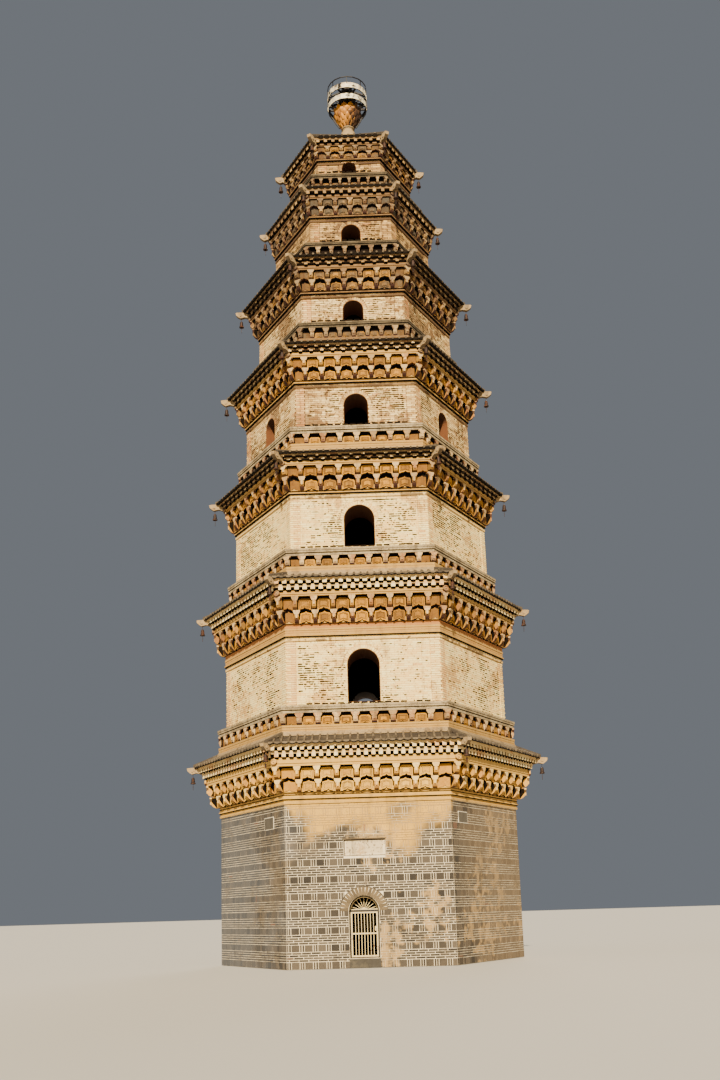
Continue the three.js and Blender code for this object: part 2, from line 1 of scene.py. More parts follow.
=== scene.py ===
"""The looks of a seven-storey hexagonal brick pagoda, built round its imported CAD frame.

Everything is in metres, +Z up. The front face looks along -Y and two corners of each hexagon lie on
the X axis. A radius always reaches a corner of the hexagon; an apothem reaches the middle of a face.
"""

import logging
import math
import random
from dataclasses import dataclass, replace
from enum import Enum
from typing import Callable, Iterable, Sequence

import bmesh
import bpy
from mathutils import Matrix, Vector


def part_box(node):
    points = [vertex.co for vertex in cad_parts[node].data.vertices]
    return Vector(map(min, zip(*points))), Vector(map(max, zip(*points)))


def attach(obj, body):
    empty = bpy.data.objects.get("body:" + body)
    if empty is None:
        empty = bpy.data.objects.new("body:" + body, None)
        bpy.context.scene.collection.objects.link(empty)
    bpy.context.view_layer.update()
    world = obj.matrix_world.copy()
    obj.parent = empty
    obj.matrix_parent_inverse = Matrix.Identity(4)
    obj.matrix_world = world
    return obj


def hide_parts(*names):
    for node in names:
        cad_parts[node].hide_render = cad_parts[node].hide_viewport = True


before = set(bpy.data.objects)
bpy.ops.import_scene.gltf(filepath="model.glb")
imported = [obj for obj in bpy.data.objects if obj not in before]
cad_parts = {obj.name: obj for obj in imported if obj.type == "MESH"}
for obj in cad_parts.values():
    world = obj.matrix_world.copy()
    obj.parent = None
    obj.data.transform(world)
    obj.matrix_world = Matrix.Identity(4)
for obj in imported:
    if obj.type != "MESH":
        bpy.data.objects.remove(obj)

LOG = logging.getLogger("pagoda")

SIDES = 6
FACE_STEP = math.radians(60)
CORNER_TURN = FACE_STEP / 2
APOTHEM = math.cos(CORNER_TURN)
HALF_WIDTH = math.tan(CORNER_TURN)
SEAT = 0.0003

Point = tuple[float, float]
Place = tuple[float, float, float]
Part = bpy.types.Object
Socket = bpy.types.NodeSocket
Material = bpy.types.Material


class Slot(Enum):
    """The record's material slots."""

    GREY_BRICK = "grey_brick"
    LIMEWASH = "limewashed_brick"
    TERRACOTTA = "terracotta"
    TILE = "roof_tile"
    PALE_STONE = "pale_stone"
    GREY_STONE = "grey_stone"
    STEEL = "painted_steel"
    LOTUS = "lotus_ceramic"
    IRON = "wrought_iron"


class Body(Enum):
    """The bodies that pieces ride on."""

    TOWER = "tower"
    LEAF = "door_leaf"


# Finishes


def linear(code: str) -> tuple[float, float, float, float]:
    """Turns a colour code such as "#a08060" into a linear colour."""
    channels = [int(code[place:place + 2], 16) / 255 for place in (1, 3, 5)]
    return (*[c / 12.92 if c <= 0.04045 else ((c + 0.055) / 1.055) ** 2.4 for c in channels], 1.0)


class NodeTree:
    """A node tree while it is being put together."""

    tree: bpy.types.NodeTree

    def node(self, kind: str, inputs: dict | None = None, **settings: object) -> bpy.types.Node:
        """Adds a node, applies its settings and feeds its inputs, which are given by name or number."""
        made = self.tree.nodes.new(kind)
        for key, value in settings.items():
            setattr(made, key, value)
        for key, value in (inputs or {}).items():
            self.feed(made.inputs[key], value)
        return made

    def feed(self, socket: Socket, value: object) -> None:
        """Links an output to a socket, or sets the socket to a plain value."""
        if isinstance(value, Socket):
            self.tree.links.new(value, socket)
        else:
            socket.default_value = value

    def maths(self, kind: str, first: object, second: object = 0.0) -> Socket:
        """Combines two numbers."""
        return self.node("ShaderNodeMath", {0: first, 1: second}, operation=kind).outputs[0]

    def add(self, first: object, second: object) -> Socket:
        """Adds two numbers."""
        return self.maths("ADD", first, second)

    def less(self, first: object, second: object) -> Socket:
        """Takes the second number from the first."""
        return self.maths("SUBTRACT", first, second)

    def times(self, first: object, second: object) -> Socket:
        """Multiplies two numbers."""
        return self.maths("MULTIPLY", first, second)


class Paint(NodeTree):
    """A material's node tree while it is being put together."""

    def __init__(self, material: Material | str) -> None:
        """Starts an empty material with that name, or continues a material that was made before."""
        if isinstance(material, str):
            material = bpy.data.materials.new(material)
            material.use_nodes = True
        self.material = material
        self.tree = material.node_tree
        self.shader = self.tree.nodes["Principled BSDF"]
        self.place = self.node("ShaderNodeTexCoord").outputs["Object"]

    def surface(self, **values: object) -> None:
        """Feeds the shader's inputs, named with underscores for spaces."""
        for name, value in values.items():
            self.feed(self.shader.inputs[name.replace("_", " ")], value)

    def noise(self, scale: float, detail: float = 4.0, stretch: Place = (1, 1, 1),
              offset: Place = (0, 0, 0)) -> Socket:
        """Adds noise over the piece's own coordinates.

        Args:
            scale: How many features there are to a metre.
            detail: How many finer layers it has.
            stretch: A factor on the coordinates along X, Y and Z.
            offset: A shift that makes two noises differ.

        Returns:
            The noise, between 0 and 1.
        """
        where = self.node("ShaderNodeMapping", {"Vector": self.place, "Scale": stretch, "Location": offset})
        inputs = {"Vector": where.outputs["Vector"], "Scale": scale, "Detail": detail}
        return self.node("ShaderNodeTexNoise", inputs).outputs["Fac"]

    def spread(self, value: object, low: float, high: float,
               to_low: float = 0.0, to_high: float = 1.0) -> Socket:
        """Maps a value smoothly from one range to another and clamps it."""
        inputs = {"Value": value, "From Min": low, "From Max": high, "To Min": to_low, "To Max": to_high}
        return self.node("ShaderNodeMapRange", inputs, interpolation_type="SMOOTHSTEP").outputs["Result"]

    def mix(self, amount: object, first: object, second: object) -> Socket:
        """Blends two colours, given as outputs or as codes."""
        made = self.node("ShaderNodeMix", {"Factor": amount}, data_type="RGBA")
        ports = [socket for socket in made.inputs if socket.type == "RGBA"]
        for port, colour in zip(ports, (first, second)):
            self.feed(port, linear(colour) if isinstance(colour, str) else colour)
        return next(socket for socket in made.outputs if socket.type == "RGBA")

    def mark(self, name: str) -> Socket:
        """Reads a number that is stored on the mesh."""
        return self.node("ShaderNodeAttribute", attribute_name=name).outputs["Fac"]

    def along(self, axis: str, vector: Socket | None = None) -> Socket:
        """Reads one coordinate, of the place on the piece or of another vector."""
        return self.node("ShaderNodeSeparateXYZ", {0: vector or self.place}).outputs[axis]

    def reach(self) -> Socket:
        """Reads the distance from the axis."""
        flat = self.node("ShaderNodeVectorMath", {0: self.place, 1: (1.0, 1.0, 0.0)}, operation="MULTIPLY")
        return self.node("ShaderNodeVectorMath", {0: flat.outputs[0]}, operation="LENGTH").outputs["Value"]

    def facing_down(self) -> Socket:
        """Tells how far the surface faces the ground, from 0 to 1."""
        normal = self.node("ShaderNodeNewGeometry").outputs["True Normal"]
        return self.times(self.along("Z", normal), -1.0)

    def bump(self, height: object, depth: float) -> None:
        """Raises the surface by a height field, in metres."""
        made = self.node("ShaderNodeBump", {"Height": height, "Distance": depth, "Strength": 1.0})
        self.surface(Normal=made.outputs["Normal"])


@dataclass(frozen=True)
class Mineral:
    """A weathered mineral finish: brick, limewash, mortar, fired clay, plaster or stone, with painted shade.
    """

    name: str
    slot: Slot
    dark: str
    pale: str
    patch: str
    dirt: str
    mark: str = "#7d4a35"
    # The under fields darken faces that turn down: partly sooting, partly painted shade under things.
    under: float = 0.6
    under_shade_from: float = 0.2
    patch_scale: float = 0.9
    patch_from: float = 0.52
    patch_to: float = 0.66
    patch_share: float = 0.7
    patch_share_in_left_shade: float = 1.0
    streak_share: float = 0.35
    speckle_scale: float = 45.0
    speckle_share: float = 0.25
    roughness: float = 0.9
    grain: float = 0.004
    left_shade_tint: str = ""
    right_stain_and_sun_tint: str = ""
    high_stain_and_sun_tint: str = ""
    high_from: float = 2.2
    high_to: float = 4.6
    high_share: float = 0.55
    under_shade_tint: str = ""
    # Inside the hollow's radius the surface takes the mark colour: painted shade for unlit chamber walls.
    hollow: float = 0.0
    shine: float = 0.5

    def make(self) -> Material:
        """Builds the material."""
        paint = Paint(self.name)
        cloud = paint.noise(self.patch_scale * 4, 5, offset=(3, 1, 7))
        tone = paint.add(paint.times(paint.mark("tone"), 0.75), paint.times(cloud, 0.35))
        colour = paint.mix(tone, self.dark, self.pale)
        ragged = paint.add(paint.times(paint.noise(self.patch_scale, 6), 0.85),
                           paint.times(paint.noise(self.patch_scale * 9, 4), 0.5))
        patches = paint.spread(paint.less(ragged, 0.175), self.patch_from, self.patch_to, 0, self.patch_share)
        # Golden patches are thinned on the left face, which is painted as lying in shade.
        if self.patch_share_in_left_shade < 1:
            side = paint.add(paint.along("X"), paint.noise(0.7, 3))
            patches = paint.times(patches, paint.spread(side, -1.6, -0.4, self.patch_share_in_left_shade, 1))
        colour = self.tinted(paint, paint.mix(patches, colour, self.patch))
        runs = paint.noise(1.0, 5, (5.0, 5.0, 0.55), (11, 4, 2))
        streaks = paint.spread(runs, 0.52, 0.72, 0, self.streak_share)
        colour = paint.mix(streaks, colour, self.dirt)
        speckle = paint.noise(self.speckle_scale, 3)
        colour = paint.mix(paint.spread(speckle, 0.56, 0.7, 0, self.speckle_share), colour, self.dirt)
        colour = paint.mix(paint.mark("stain"), colour, self.mark)
        # Painted shade, with some sooting, on the faces that turn downwards.
        underside_shade_and_soot = paint.spread(paint.facing_down(), self.under_shade_from, self.under_shade_from + 0.5, 0, self.under)
        colour = paint.mix(underside_shade_and_soot, colour, self.under_shade_tint or self.dirt)
        # Painted shade: surfaces nearer the axis than the hollow take the mark colour, near black where used.
        if self.hollow:
            inside = paint.spread(paint.reach(), self.hollow + 0.12, self.hollow - 0.12)
            colour = paint.mix(inside, colour, self.mark)
        rough = paint.spread(speckle, 0.3, 0.7, self.roughness - 0.08, min(self.roughness + 0.06, 1))
        paint.surface(Base_Color=colour, Roughness=rough, Specular_IOR_Level=self.shine)
        paint.bump(paint.add(speckle, paint.times(paint.noise(11, 5), 1.5)), self.grain)
        return paint.material

    def tinted(self, paint: Paint, colour: Socket) -> Socket:
        """Adds broad tints: painted shade on the left, stain and painted sunlight on the right and the upper
        wall.
        """
        wander = paint.times(paint.less(paint.noise(0.7, 4, offset=(5, 5, 5)), 0.5), 5)
        for tint, start, end, share in ((self.left_shade_tint, -2.0, -4.4, 0.6), (self.right_stain_and_sun_tint, 1.6, 4.2, 0.5)):
            if tint:
                side = paint.spread(paint.add(paint.along("X"), wander), start, end, 0, share)
                colour = paint.mix(side, colour, tint)
        if self.high_stain_and_sun_tint:
            aside = paint.less(paint.maths("ABSOLUTE", paint.along("X")), 2.1)
            beyond = paint.times(paint.maths("MAXIMUM", aside, 0), 3)
            level = paint.less(paint.add(paint.along("Z"), wander), beyond)
            high = paint.spread(level, self.high_from, self.high_to, 0, self.high_share)
            colour = paint.mix(high, colour, self.high_stain_and_sun_tint)
        return colour


@dataclass(frozen=True)
class Metal:
    """A painted or bare iron finish with rust coming through."""

    name: str
    slot: Slot
    paint_colour: str
    rust: str
    rust_from: float
    rust_to: float
    metallic: float
    roughness: float

    def make(self) -> Material:
        """Builds the material."""
        paint = Paint(self.name)
        rusted = paint.spread(paint.noise(9, 6), self.rust_from, self.rust_to)
        streak = paint.spread(paint.noise(2.0, 4, (9, 9, 0.7)), 0.5, 0.75, 0, 0.4)
        colour = paint.mix(rusted, paint.mix(streak, self.paint_colour, self.rust), self.rust)
        rough = paint.add(self.roughness, paint.times(rusted, 0.35))
        paint.surface(Base_Color=colour, Roughness=rough, Metallic=self.metallic)
        paint.bump(paint.noise(60, 4), 0.001)
        return paint.material


@dataclass(frozen=True)
class BandedIron(Metal):
    """Dark iron whose outer band faces carry pale lime."""

    lime: str = "#efe3c4"
    stain: str = "#a5825c"
    face: Point = (0.664, 0.6815)
    bands: tuple[Point, ...] = ()

    def make(self) -> Material:
        """Builds the material."""
        paint = Paint(super().make())
        base = paint.shader.inputs["Base Color"].links[0].from_socket
        out = self.between(paint, paint.reach(), *self.face)
        height = paint.along("Z")
        level: object = 0.0
        for low, high in self.bands:
            level = paint.add(level, self.between(paint, height, low, high))
        worn = paint.spread(paint.noise(6, 6), 0.66, 0.5)
        stained = paint.spread(paint.noise(4, 5, offset=(2, 2, 2)), 0.45, 0.65, 0, 0.6)
        lime = paint.mix(stained, self.lime, self.stain)
        mask = paint.times(paint.times(out, level), worn)
        paint.surface(Base_Color=paint.mix(mask, base, lime), Metallic=0.35)
        return paint.material

    @staticmethod
    def between(paint: Paint, value: Socket, low: float, high: float) -> Socket:
        """Gives 1 where a value lies between two limits, and 0 elsewhere."""
        return paint.times(paint.maths("GREATER_THAN", value, low), paint.maths("LESS_THAN", value, high))


@dataclass(frozen=True)
class Glaze:
    """A glazed ceramic finish with painted shade on its +X side and underneath."""

    name: str
    slot: Slot
    dark: str
    pale: str
    shade_side: str

    def make(self) -> Material:
        """Builds the material."""
        paint = Paint(self.name)
        tone = paint.add(paint.times(paint.mark("tone"), 0.6), paint.times(paint.noise(3, 5), 0.5))
        # Painted shade: darker and rougher towards +X and on faces turned down.
        lean = paint.add(paint.along("X"), paint.times(paint.facing_down(), 0.25))
        side = paint.add(lean, paint.times(paint.noise(3.2, 6, (1, 1, 0.6), (2, 8, 1)), 0.5))
        shade_side = paint.spread(side, 0.38, 0.56, 0, 0.92)
        colour = paint.mix(shade_side, paint.mix(tone, self.dark, self.pale), self.shade_side)
        paint.surface(Base_Color=colour, Roughness=paint.spread(shade_side, 0, 0.75, 0.55, 0.88), Coat_Weight=0.06)
        paint.bump(paint.noise(28, 5), 0.003)
        return paint.material


Finish = Mineral | Metal | Glaze

# Its left tint paints shade on the left face, its high and right tints paint sunlight mixed with stain, and
# its golden patches are thinned on the shaded left.
GREY_BRICK = Mineral("grey_brick_faces", Slot.GREY_BRICK, "#141210", "#625646", "#cfa868", "#15110d",
                     mark="#7d4f36", patch_scale=0.45, patch_from=0.56, patch_to=0.63, patch_share=0.6,
                     patch_share_in_left_shade=0.12, left_shade_tint="#5f6062", right_stain_and_sun_tint="#8a7354", high_stain_and_sun_tint="#e2b04c",
                     high_from=3.4, high_to=4.3, high_share=0.8, speckle_share=0.5, streak_share=0.2)
ARCH_BRICK = replace(GREY_BRICK, name="door_arch_brick", dark="#332b22", pale="#806c4c", patch="#2c2218",
                     mark="#6b5a40", patch_from=0.52, patch_to=0.62, high_stain_and_sun_tint="", left_shade_tint="",
                     right_stain_and_sun_tint="")
# Its high tint darkens the joints in the upper wall's stained, painted-sunlit zone; its hollow paints the
# chambers' insides near black as shade.
GREY_MORTAR = Mineral("grey_wall_mortar", Slot.GREY_BRICK, "#e6d3ae", "#fff6de", "#8c7350", "#6a583f",
                      mark="#0f0c09", patch_scale=0.9, patch_from=0.5, patch_to=0.62, patch_share=0.6,
                      high_stain_and_sun_tint="#8a6528", high_from=3.4, high_to=4.3, high_share=0.85, speckle_share=0.2,
                      streak_share=0.15, hollow=3.25)
LIME_BRICK = Mineral("limewashed_brick_faces", Slot.LIMEWASH, "#f2c472", "#ffeca4", "#bf8644", "#7d5a2e",
                     mark="#d08a50", patch_scale=0.8, patch_from=0.55, patch_to=0.64, patch_share=0.6,
                     streak_share=0.28, speckle_scale=15, speckle_share=0.62, under=0.5)
# Its near-black mark colour paints the chambers' inner walls as shade, through the hollow set for each
# storey.
LIME_JOINT = Mineral("limewashed_joints", Slot.LIMEWASH, "#dcb468", "#f2d48c", "#4a321c", "#6e4e2a",
                     mark="#120c08", patch_scale=0.8, patch_from=0.54, patch_to=0.58, patch_share=0.8,
                     speckle_scale=24, speckle_share=0.5)
WORN_BRICK = replace(LIME_BRICK, name="worn_limewashed_brick", dark="#a87a3c", pale="#fadc98",
                     patch="#6b4422", patch_from=0.5, patch_to=0.57, patch_share=0.75, streak_share=0.45)
WORN_JOINT = replace(LIME_JOINT, name="worn_limewashed_joints", dark="#6e4e26", pale="#c9a462",
                     patch_from=0.42, patch_to=0.46)
BARE_BRICK = replace(LIME_BRICK, name="bare_ochre_brick", dark="#78522a", pale="#deb56e", patch="#4c321a",
                     patch_from=0.5, patch_to=0.58, patch_share=0.7, streak_share=0.4)
BARE_JOINT = replace(LIME_JOINT, name="bare_brick_joints", dark="#4a3218", pale="#8a683a", patch_from=0.4,
                     patch_to=0.45)
# Near black: real open joints, and also the sheets of painted shade laid as SHADE.
OPEN_JOINT_AND_SHADE = Mineral("open_joint_shadow", Slot.LIMEWASH, "#0c0805", "#1e150d", "#160f09", "#0a0705",
                     shine=0.05)
# Dark tint on the clays' downward faces: painted shade under the carving.
GOLDEN_CLAY = Mineral("golden_clay", Slot.TERRACOTTA, "#a8711c", "#ecba4c", "#cf9636", "#4a2e16",
                      mark="#a4512f", patch_scale=2.2, patch_share=0.6, streak_share=0.35,
                      speckle_scale=26, speckle_share=0.35, under=0.85, under_shade_tint="#4a1f12")
ORANGE_CLAY = replace(GOLDEN_CLAY, name="orange_clay", dark="#643c0a", pale="#d0921f", patch="#7a5420",
                      patch_from=0.5, patch_to=0.58, streak_share=0.5)
AGED_CLAY = replace(GOLDEN_CLAY, name="aged_clay", dark="#3a2812", pale="#bd8428", patch="#5c4c36",
                    patch_from=0.47, patch_to=0.57, patch_share=0.8, streak_share=0.65, speckle_share=0.5)
SOOTED_CLAY = replace(AGED_CLAY, name="sooted_clay", dark="#2a2116", pale="#8c6e40", patch="#4c4436")
# Near-black core behind the brackets and balconies: partly sooted, partly painted shade in the recesses.
DARK_CORE = Mineral("sooted_core", Slot.TERRACOTTA, "#120c08", "#2a1c12", "#20150d", "#0e0a07",
                    patch_scale=1.8, shine=0.1)
GOLDEN_COURSE = Mineral("golden_courses", Slot.TERRACOTTA, "#c8963c", "#f3d27a", "#cf9a48", "#5f4222",
                        mark="#b04c22", patch_scale=1.3, patch_share=0.5, streak_share=0.3,
                        speckle_share=0.35)
ORANGE_COURSE = replace(GOLDEN_COURSE, name="orange_courses", dark="#ad8038", pale="#ecc878", patch="#c28a3c",
                        speckle_share=0.45)
AGED_COURSE = replace(GOLDEN_COURSE, name="aged_courses", dark="#6b4c2a", pale="#c89c5c", patch="#5d4022",
                      patch_share=0.7, streak_share=0.5, speckle_share=0.5)
RED_BRICK = replace(ORANGE_COURSE, name="red_brick_end", dark="#3c100a", pale="#7c2c1c", patch="#5a1c12")
# The bracket fronts turn dark red on faces turned even slightly down, the bodies on steeper ones: painted
# shade.
GOLDEN_NOSE = Mineral("golden_bracket_fronts", Slot.TERRACOTTA, "#c8943f", "#fbdc8e", "#d49a52", "#5a3a20",
                      patch_scale=2.5, speckle_share=0.35, under=0.97, under_shade_from=0.02, under_shade_tint="#34120a")
CREAM_NOSE = replace(GOLDEN_NOSE, name="cream_bracket_fronts", dark="#8a6a40", pale="#dcba80",
                     patch="#9c6234", patch_from=0.48, patch_to=0.58, streak_share=0.5)
AGED_NOSE = replace(CREAM_NOSE, name="aged_bracket_fronts", dark="#564330", pale="#b99a68", patch="#5f3c22",
                    streak_share=0.55, speckle_share=0.5)
GOLDEN_BODY = replace(GOLDEN_NOSE, name="golden_bracket_bodies", dark="#9c6a1c", pale="#e0aa44",
                      under_shade_from=0.5)
CREAM_BODY = replace(CREAM_NOSE, name="ochre_bracket_bodies", dark="#644612", pale="#c08c30", under_shade_from=0.5)
AGED_BODY = replace(AGED_NOSE, name="aged_bracket_bodies", dark="#48361c", pale="#a87f40", under_shade_from=0.5)
# The header ends' undersides turn near black: painted shade.
HEADER_END = Mineral("pale_header_ends", Slot.TERRACOTTA, "#dcb46c", "#ffecb4", "#c8864a", "#4c3520",
                     mark="#9c5540", patch_scale=1.4, under=0.9, under_shade_tint="#1c110a")
WORN_HEADER = replace(HEADER_END, name="worn_header_ends", dark="#9a7748", pale="#e2c48c", patch="#8a5a34")
AGED_HEADER = replace(HEADER_END, name="aged_header_ends", dark="#624828", pale="#c29c60", patch="#553620",
                      streak_share=0.5)
SLAB_STONE = Mineral("slab_course", Slot.TERRACOTTA, "#94805e", "#ead3a2", "#7a674a", "#3f3424",
                     patch_scale=2.6, patch_from=0.46, patch_to=0.56, patch_share=0.8, speckle_scale=22,
                     speckle_share=0.65, streak_share=0.4)
AGED_SLAB = replace(SLAB_STONE, name="aged_slab_course", dark="#4a3e2c", pale="#a48e68", patch="#40341f")
DARK_TILE = Mineral("dark_roof_tile", Slot.TILE, "#2c241c", "#7c6a50", "#63563f", "#15110d",
                    patch_scale=3.5, patch_share=0.6, roughness=0.86, speckle_share=0.6, speckle_scale=22)
TILE_BED = replace(DARK_TILE, name="tile_bed", dark="#292119", pale="#6c5c44", roughness=0.9)
# Painted shadow: the near-black scallops hung just under the drip tiles' edge.
DRIP_SHADOW = Mineral("drip_tile", Slot.TILE, "#0b0806", "#1e1812", "#17120d", "#080605", roughness=0.85,
                    shine=0.08)
# Near-black tile edges and eave beds from the third storey up: partly sooted, partly painted shade.
SHADED_EDGE_TILE = replace(DARK_TILE, name="sooted_edge_tile", dark="#080604", pale="#241b11", patch="#17110b",
                    shine=0.08)
HORN_PLASTER = Mineral("corner_beam_plaster", Slot.TILE, "#8f7650", "#e3c692", "#7f6038", "#3a2d20",
                       patch_scale=3.0, patch_share=0.65, streak_share=0.5, speckle_share=0.5, under=0.75)
PALE_STONE = Mineral("pale_stone_face", Slot.PALE_STONE, "#cdb78e", "#f0dcb6", "#b08f60", "#4a3a28",
                     patch_scale=2.4, speckle_scale=16, speckle_share=0.75, streak_share=0.5, grain=0.002)
GREY_STONE = Mineral("grey_stone_face", Slot.GREY_STONE, "#38332b", "#665e50", "#5c5342", "#2a261f",
                     patch_scale=1.4)
REVEAL = Mineral("reveal_brick", Slot.LIMEWASH, "#5a3213", "#a0622c", "#6b3f1c", "#1d110a",
                 patch_scale=1.8)
# The gate frame is near black as the shadow gap round the gate: painted shade.
FRAME_SHADE = Metal("dark_painted_frame", Slot.STEEL, "#17120f", "#3a2418", 0.62, 0.76, 0.1, 0.6)
STEEL_PAINT = Metal("cream_painted_steel", Slot.STEEL, "#dcc894", "#8a5a3a", 0.62, 0.72, 0.15, 0.5)
CAGE_IRON = BandedIron("dark_iron", Slot.IRON, "#120f0d", "#3a2216", 0.56, 0.72, 0.4, 0.6)
BELL_IRON = Metal("bell_iron", Slot.IRON, "#2d1f17", "#5d3a27", 0.48, 0.66, 0.5, 0.6)
# The bowl body is darker than the petals, so the gaps between petals show as painted shade; the third colour
# of each glaze is its painted shade side.
LOTUS_SEAM = Glaze("lotus_bowl_seams", Slot.LOTUS, "#240d04", "#5c3009", "#120603")
LOTUS_GLAZE = Glaze("lotus_petal_glaze", Slot.LOTUS, "#5a2807", "#e0961e", "#1e0a05")


@dataclass(frozen=True)
class StoreyFinishes:
    """The finishes of one storey, which get browner and barer upwards."""

    brick: Mineral
    joint: Mineral
    clay: Mineral
    nose: Mineral
    course: Mineral
    header: Mineral
    body: Mineral

    @property
    def shade_footed(self) -> Mineral:
        """The bracket bodies' finish with the whole lower half dark red as painted shade."""
        return replace(self.body, name=f"{self.body.name}_dark_foot", under_shade_from=0.02)


LOWER_LOOK = StoreyFinishes(LIME_BRICK, LIME_JOINT, GOLDEN_CLAY, GOLDEN_NOSE, GOLDEN_COURSE, HEADER_END,
                            GOLDEN_BODY)
MIDDLE_LOOK = replace(LOWER_LOOK, clay=ORANGE_CLAY, nose=CREAM_NOSE, course=ORANGE_COURSE, body=CREAM_BODY)
AGED_LOOK = StoreyFinishes(WORN_BRICK, WORN_JOINT, AGED_CLAY, AGED_NOSE, AGED_COURSE, AGED_HEADER, AGED_BODY)
BARE_LOOK = replace(AGED_LOOK, brick=BARE_BRICK, joint=BARE_JOINT)
LOOKS = {1: LOWER_LOOK, 2: MIDDLE_LOOK, 3: replace(MIDDLE_LOOK, header=WORN_HEADER),
         4: replace(MIDDLE_LOOK, brick=WORN_BRICK, joint=WORN_JOINT, header=WORN_HEADER), 5: AGED_LOOK,
         6: replace(BARE_LOOK, clay=SOOTED_CLAY), 7: BARE_LOOK}
# SHADE: near-black sheets of painted shade in recesses, under parts and on the noses' sides.
SHADE = OPEN_JOINT_AND_SHADE
MADE: dict[str, Material] = {}


def material_of(finish: Finish) -> Material:
    """Returns the finish's material, made once."""
    if finish.name not in MADE:
        MADE[finish.name] = finish.make()
    return MADE[finish.name]


# Meshes


def solid(name: str, points: Sequence[Sequence[float]], faces: Sequence[Sequence[int]]) -> Part:
    """Makes an object from points and faces, turned outwards and linked to the scene."""
    mesh = bpy.data.meshes.new(name)
    mesh.from_pydata([tuple(point) for point in points], [], [tuple(face) for face in faces])
    shape = bmesh.new()
    shape.from_mesh(mesh)
    bmesh.ops.recalc_face_normals(shape, faces=shape.faces)
    shape.to_mesh(mesh)
    shape.free()
    made = bpy.data.objects.new(name, mesh)
    bpy.context.scene.collection.objects.link(made)
    return made


def prism(name: str, outline: Sequence[Point], start: float, end: float, axis: str = "y") -> Part:
    """Extrudes an outline.

    Args:
        name: The object's name.
        outline: (across, height) points in order round the shape.
        start: Where the extrusion starts on its axis.
        end: Where it ends.
        axis: "y" for an outline seen from the front, "x" for a side profile whose first coordinate
            reaches out from the wall, towards -Y.

    Returns:
        The prism.
    """
    count = len(outline)
    if axis == "y":
        points = [(a, level, b) for level in (start, end) for a, b in outline]
    else:
        points = [(level, -a, b) for level in (start, end) for a, b in outline]
    faces = [[(i + 1) % count, i, i + count, (i + 1) % count + count] for i in range(count)]
    faces += [list(range(count)), list(range(2 * count - 1, count - 1, -1))]
    return solid(name, points, faces)


def turned(name: str, profile: Sequence[Point], sides: int, turn: float = 0.0) -> Part:
    """Turns a profile of (radius, height) points about the axis.

    Args:
        name: The object's name.
        profile: The points; a closed ring when the first radius isn't 0, else from axis to axis.
        sides: How many sides the solid has.
        turn: The angle of the first corner from +X.

    Returns:
        The turned solid.
    """
    ring = profile[0][0] > 1e-6
    points: list[Place] = []
    rows: list[list[int]] = []
    for radius, height in profile:
        if radius < 1e-6:
            rows.append([len(points)] * sides)
            points.append((0.0, 0.0, height))
            continue
        rows.append(list(range(len(points), len(points) + sides)))
        points += [(radius * math.cos(turn + 2 * math.pi * i / sides),
                    radius * math.sin(turn + 2 * math.pi * i / sides), height) for i in range(sides)]
    pairs = list(zip(rows, rows[1:])) + ([(rows[-1], rows[0])] if ring else [])
    faces = []
    for low, high in pairs:
        for i in range(sides):
            j = (i + 1) % sides
            corners = list(dict.fromkeys([low[i], low[j], high[j], high[i]]))
            if len(corners) > 2:
                faces.append(corners)
    return solid(name, points, faces)


def hexagonal(name: str, profile: Sequence[Point]) -> Part:
    """Turns a profile of (corner radius, height) points into a hexagonal solid."""
    return turned(name, profile, SIDES)


def hoop(name: str, inner: float, outer: float, low: float, high: float) -> Part:
    """Makes a hexagonal course between two corner radii and two heights."""
    return hexagonal(name, [(inner, low), (outer, low), (outer, high), (inner, high)])


def drum(name: str, radius: float, low: float, high: float, sides: int) -> Part:
    """Makes a cylinder about the axis."""
    return turned(name, [(0.0, low), (radius, low), (radius, high), (0.0, high)], sides)


def plate(name: str, left: float, right: float, foot: float, top: float, front: float, back: float) -> Part:
    """Makes a block between six limits, seen from the front."""
    return prism(name, [(left, foot), (right, foot), (right, top), (left, top)], front, back)


def join(name: str, parts: Sequence[Part]) -> Part:
    """Joins objects into the first one and names it."""
    kept = parts[0]
    if len(parts) > 1:
        with bpy.context.temp_override(active_object=kept, object=kept, selected_objects=list(parts),
                                       selected_editable_objects=list(parts)):
            bpy.ops.object.join()
    kept.name = name
    kept.data.name = name
    return kept


def six_times(part: Part, turn: float = 0.0) -> Part:
    """Repeats a piece of the front face, or of a corner, on all six sides within one mesh."""
    source = part.data
    count = len(source.vertices)
    flat = [tuple(vertex.co) for vertex in source.vertices]
    faces = [tuple(face.vertices) for face in source.polygons]
    points, rounds = [], []
    for side in range(SIDES):
        spin = Matrix.Rotation(turn + side * FACE_STEP, 4, "Z")
        points += [spin @ Vector(point) for point in flat]
        rounds += [tuple(index + side * count for index in face) for face in faces]
    name = part.name
    bpy.data.objects.remove(part)
    return solid(name, points, rounds)


def smooth(part: Part, angle: float = 40.0) -> Part:
    """Shades a piece smoothly, apart from edges sharper than the angle in degrees."""
    part.data.shade_smooth()
    part.data.set_sharp_from_angle(angle=math.radians(angle))
    return part


def discard(shapes: Iterable[Part]) -> None:
    """Removes the shapes that rows were made of."""
    for shape in shapes:
        bpy.data.objects.remove(shape)


def dress(part: Part, finish: Finish, body: Body = Body.TOWER, replaces: Sequence[str] = ()) -> Part:
    """Gives a piece its finish, its body and the nodes that it stands for.

    Args:
        part: The piece.
        finish: Its finish.
        body: The body that it rides on.
        replaces: The CAD nodes that it replaces.

    Returns:
        The same piece.
    """
    part.data.materials.clear()
    part.data.materials.append(material_of(finish))
    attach(part, body.value)
    if replaces:
        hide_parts(*replaces)
    return part


def repaint(node: str, finish: Finish) -> None:
    """Gives a CAD node another material and leaves its mesh alone."""
    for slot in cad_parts[node].material_slots:
        slot.material = material_of(finish)


# Geometry Nodes trees


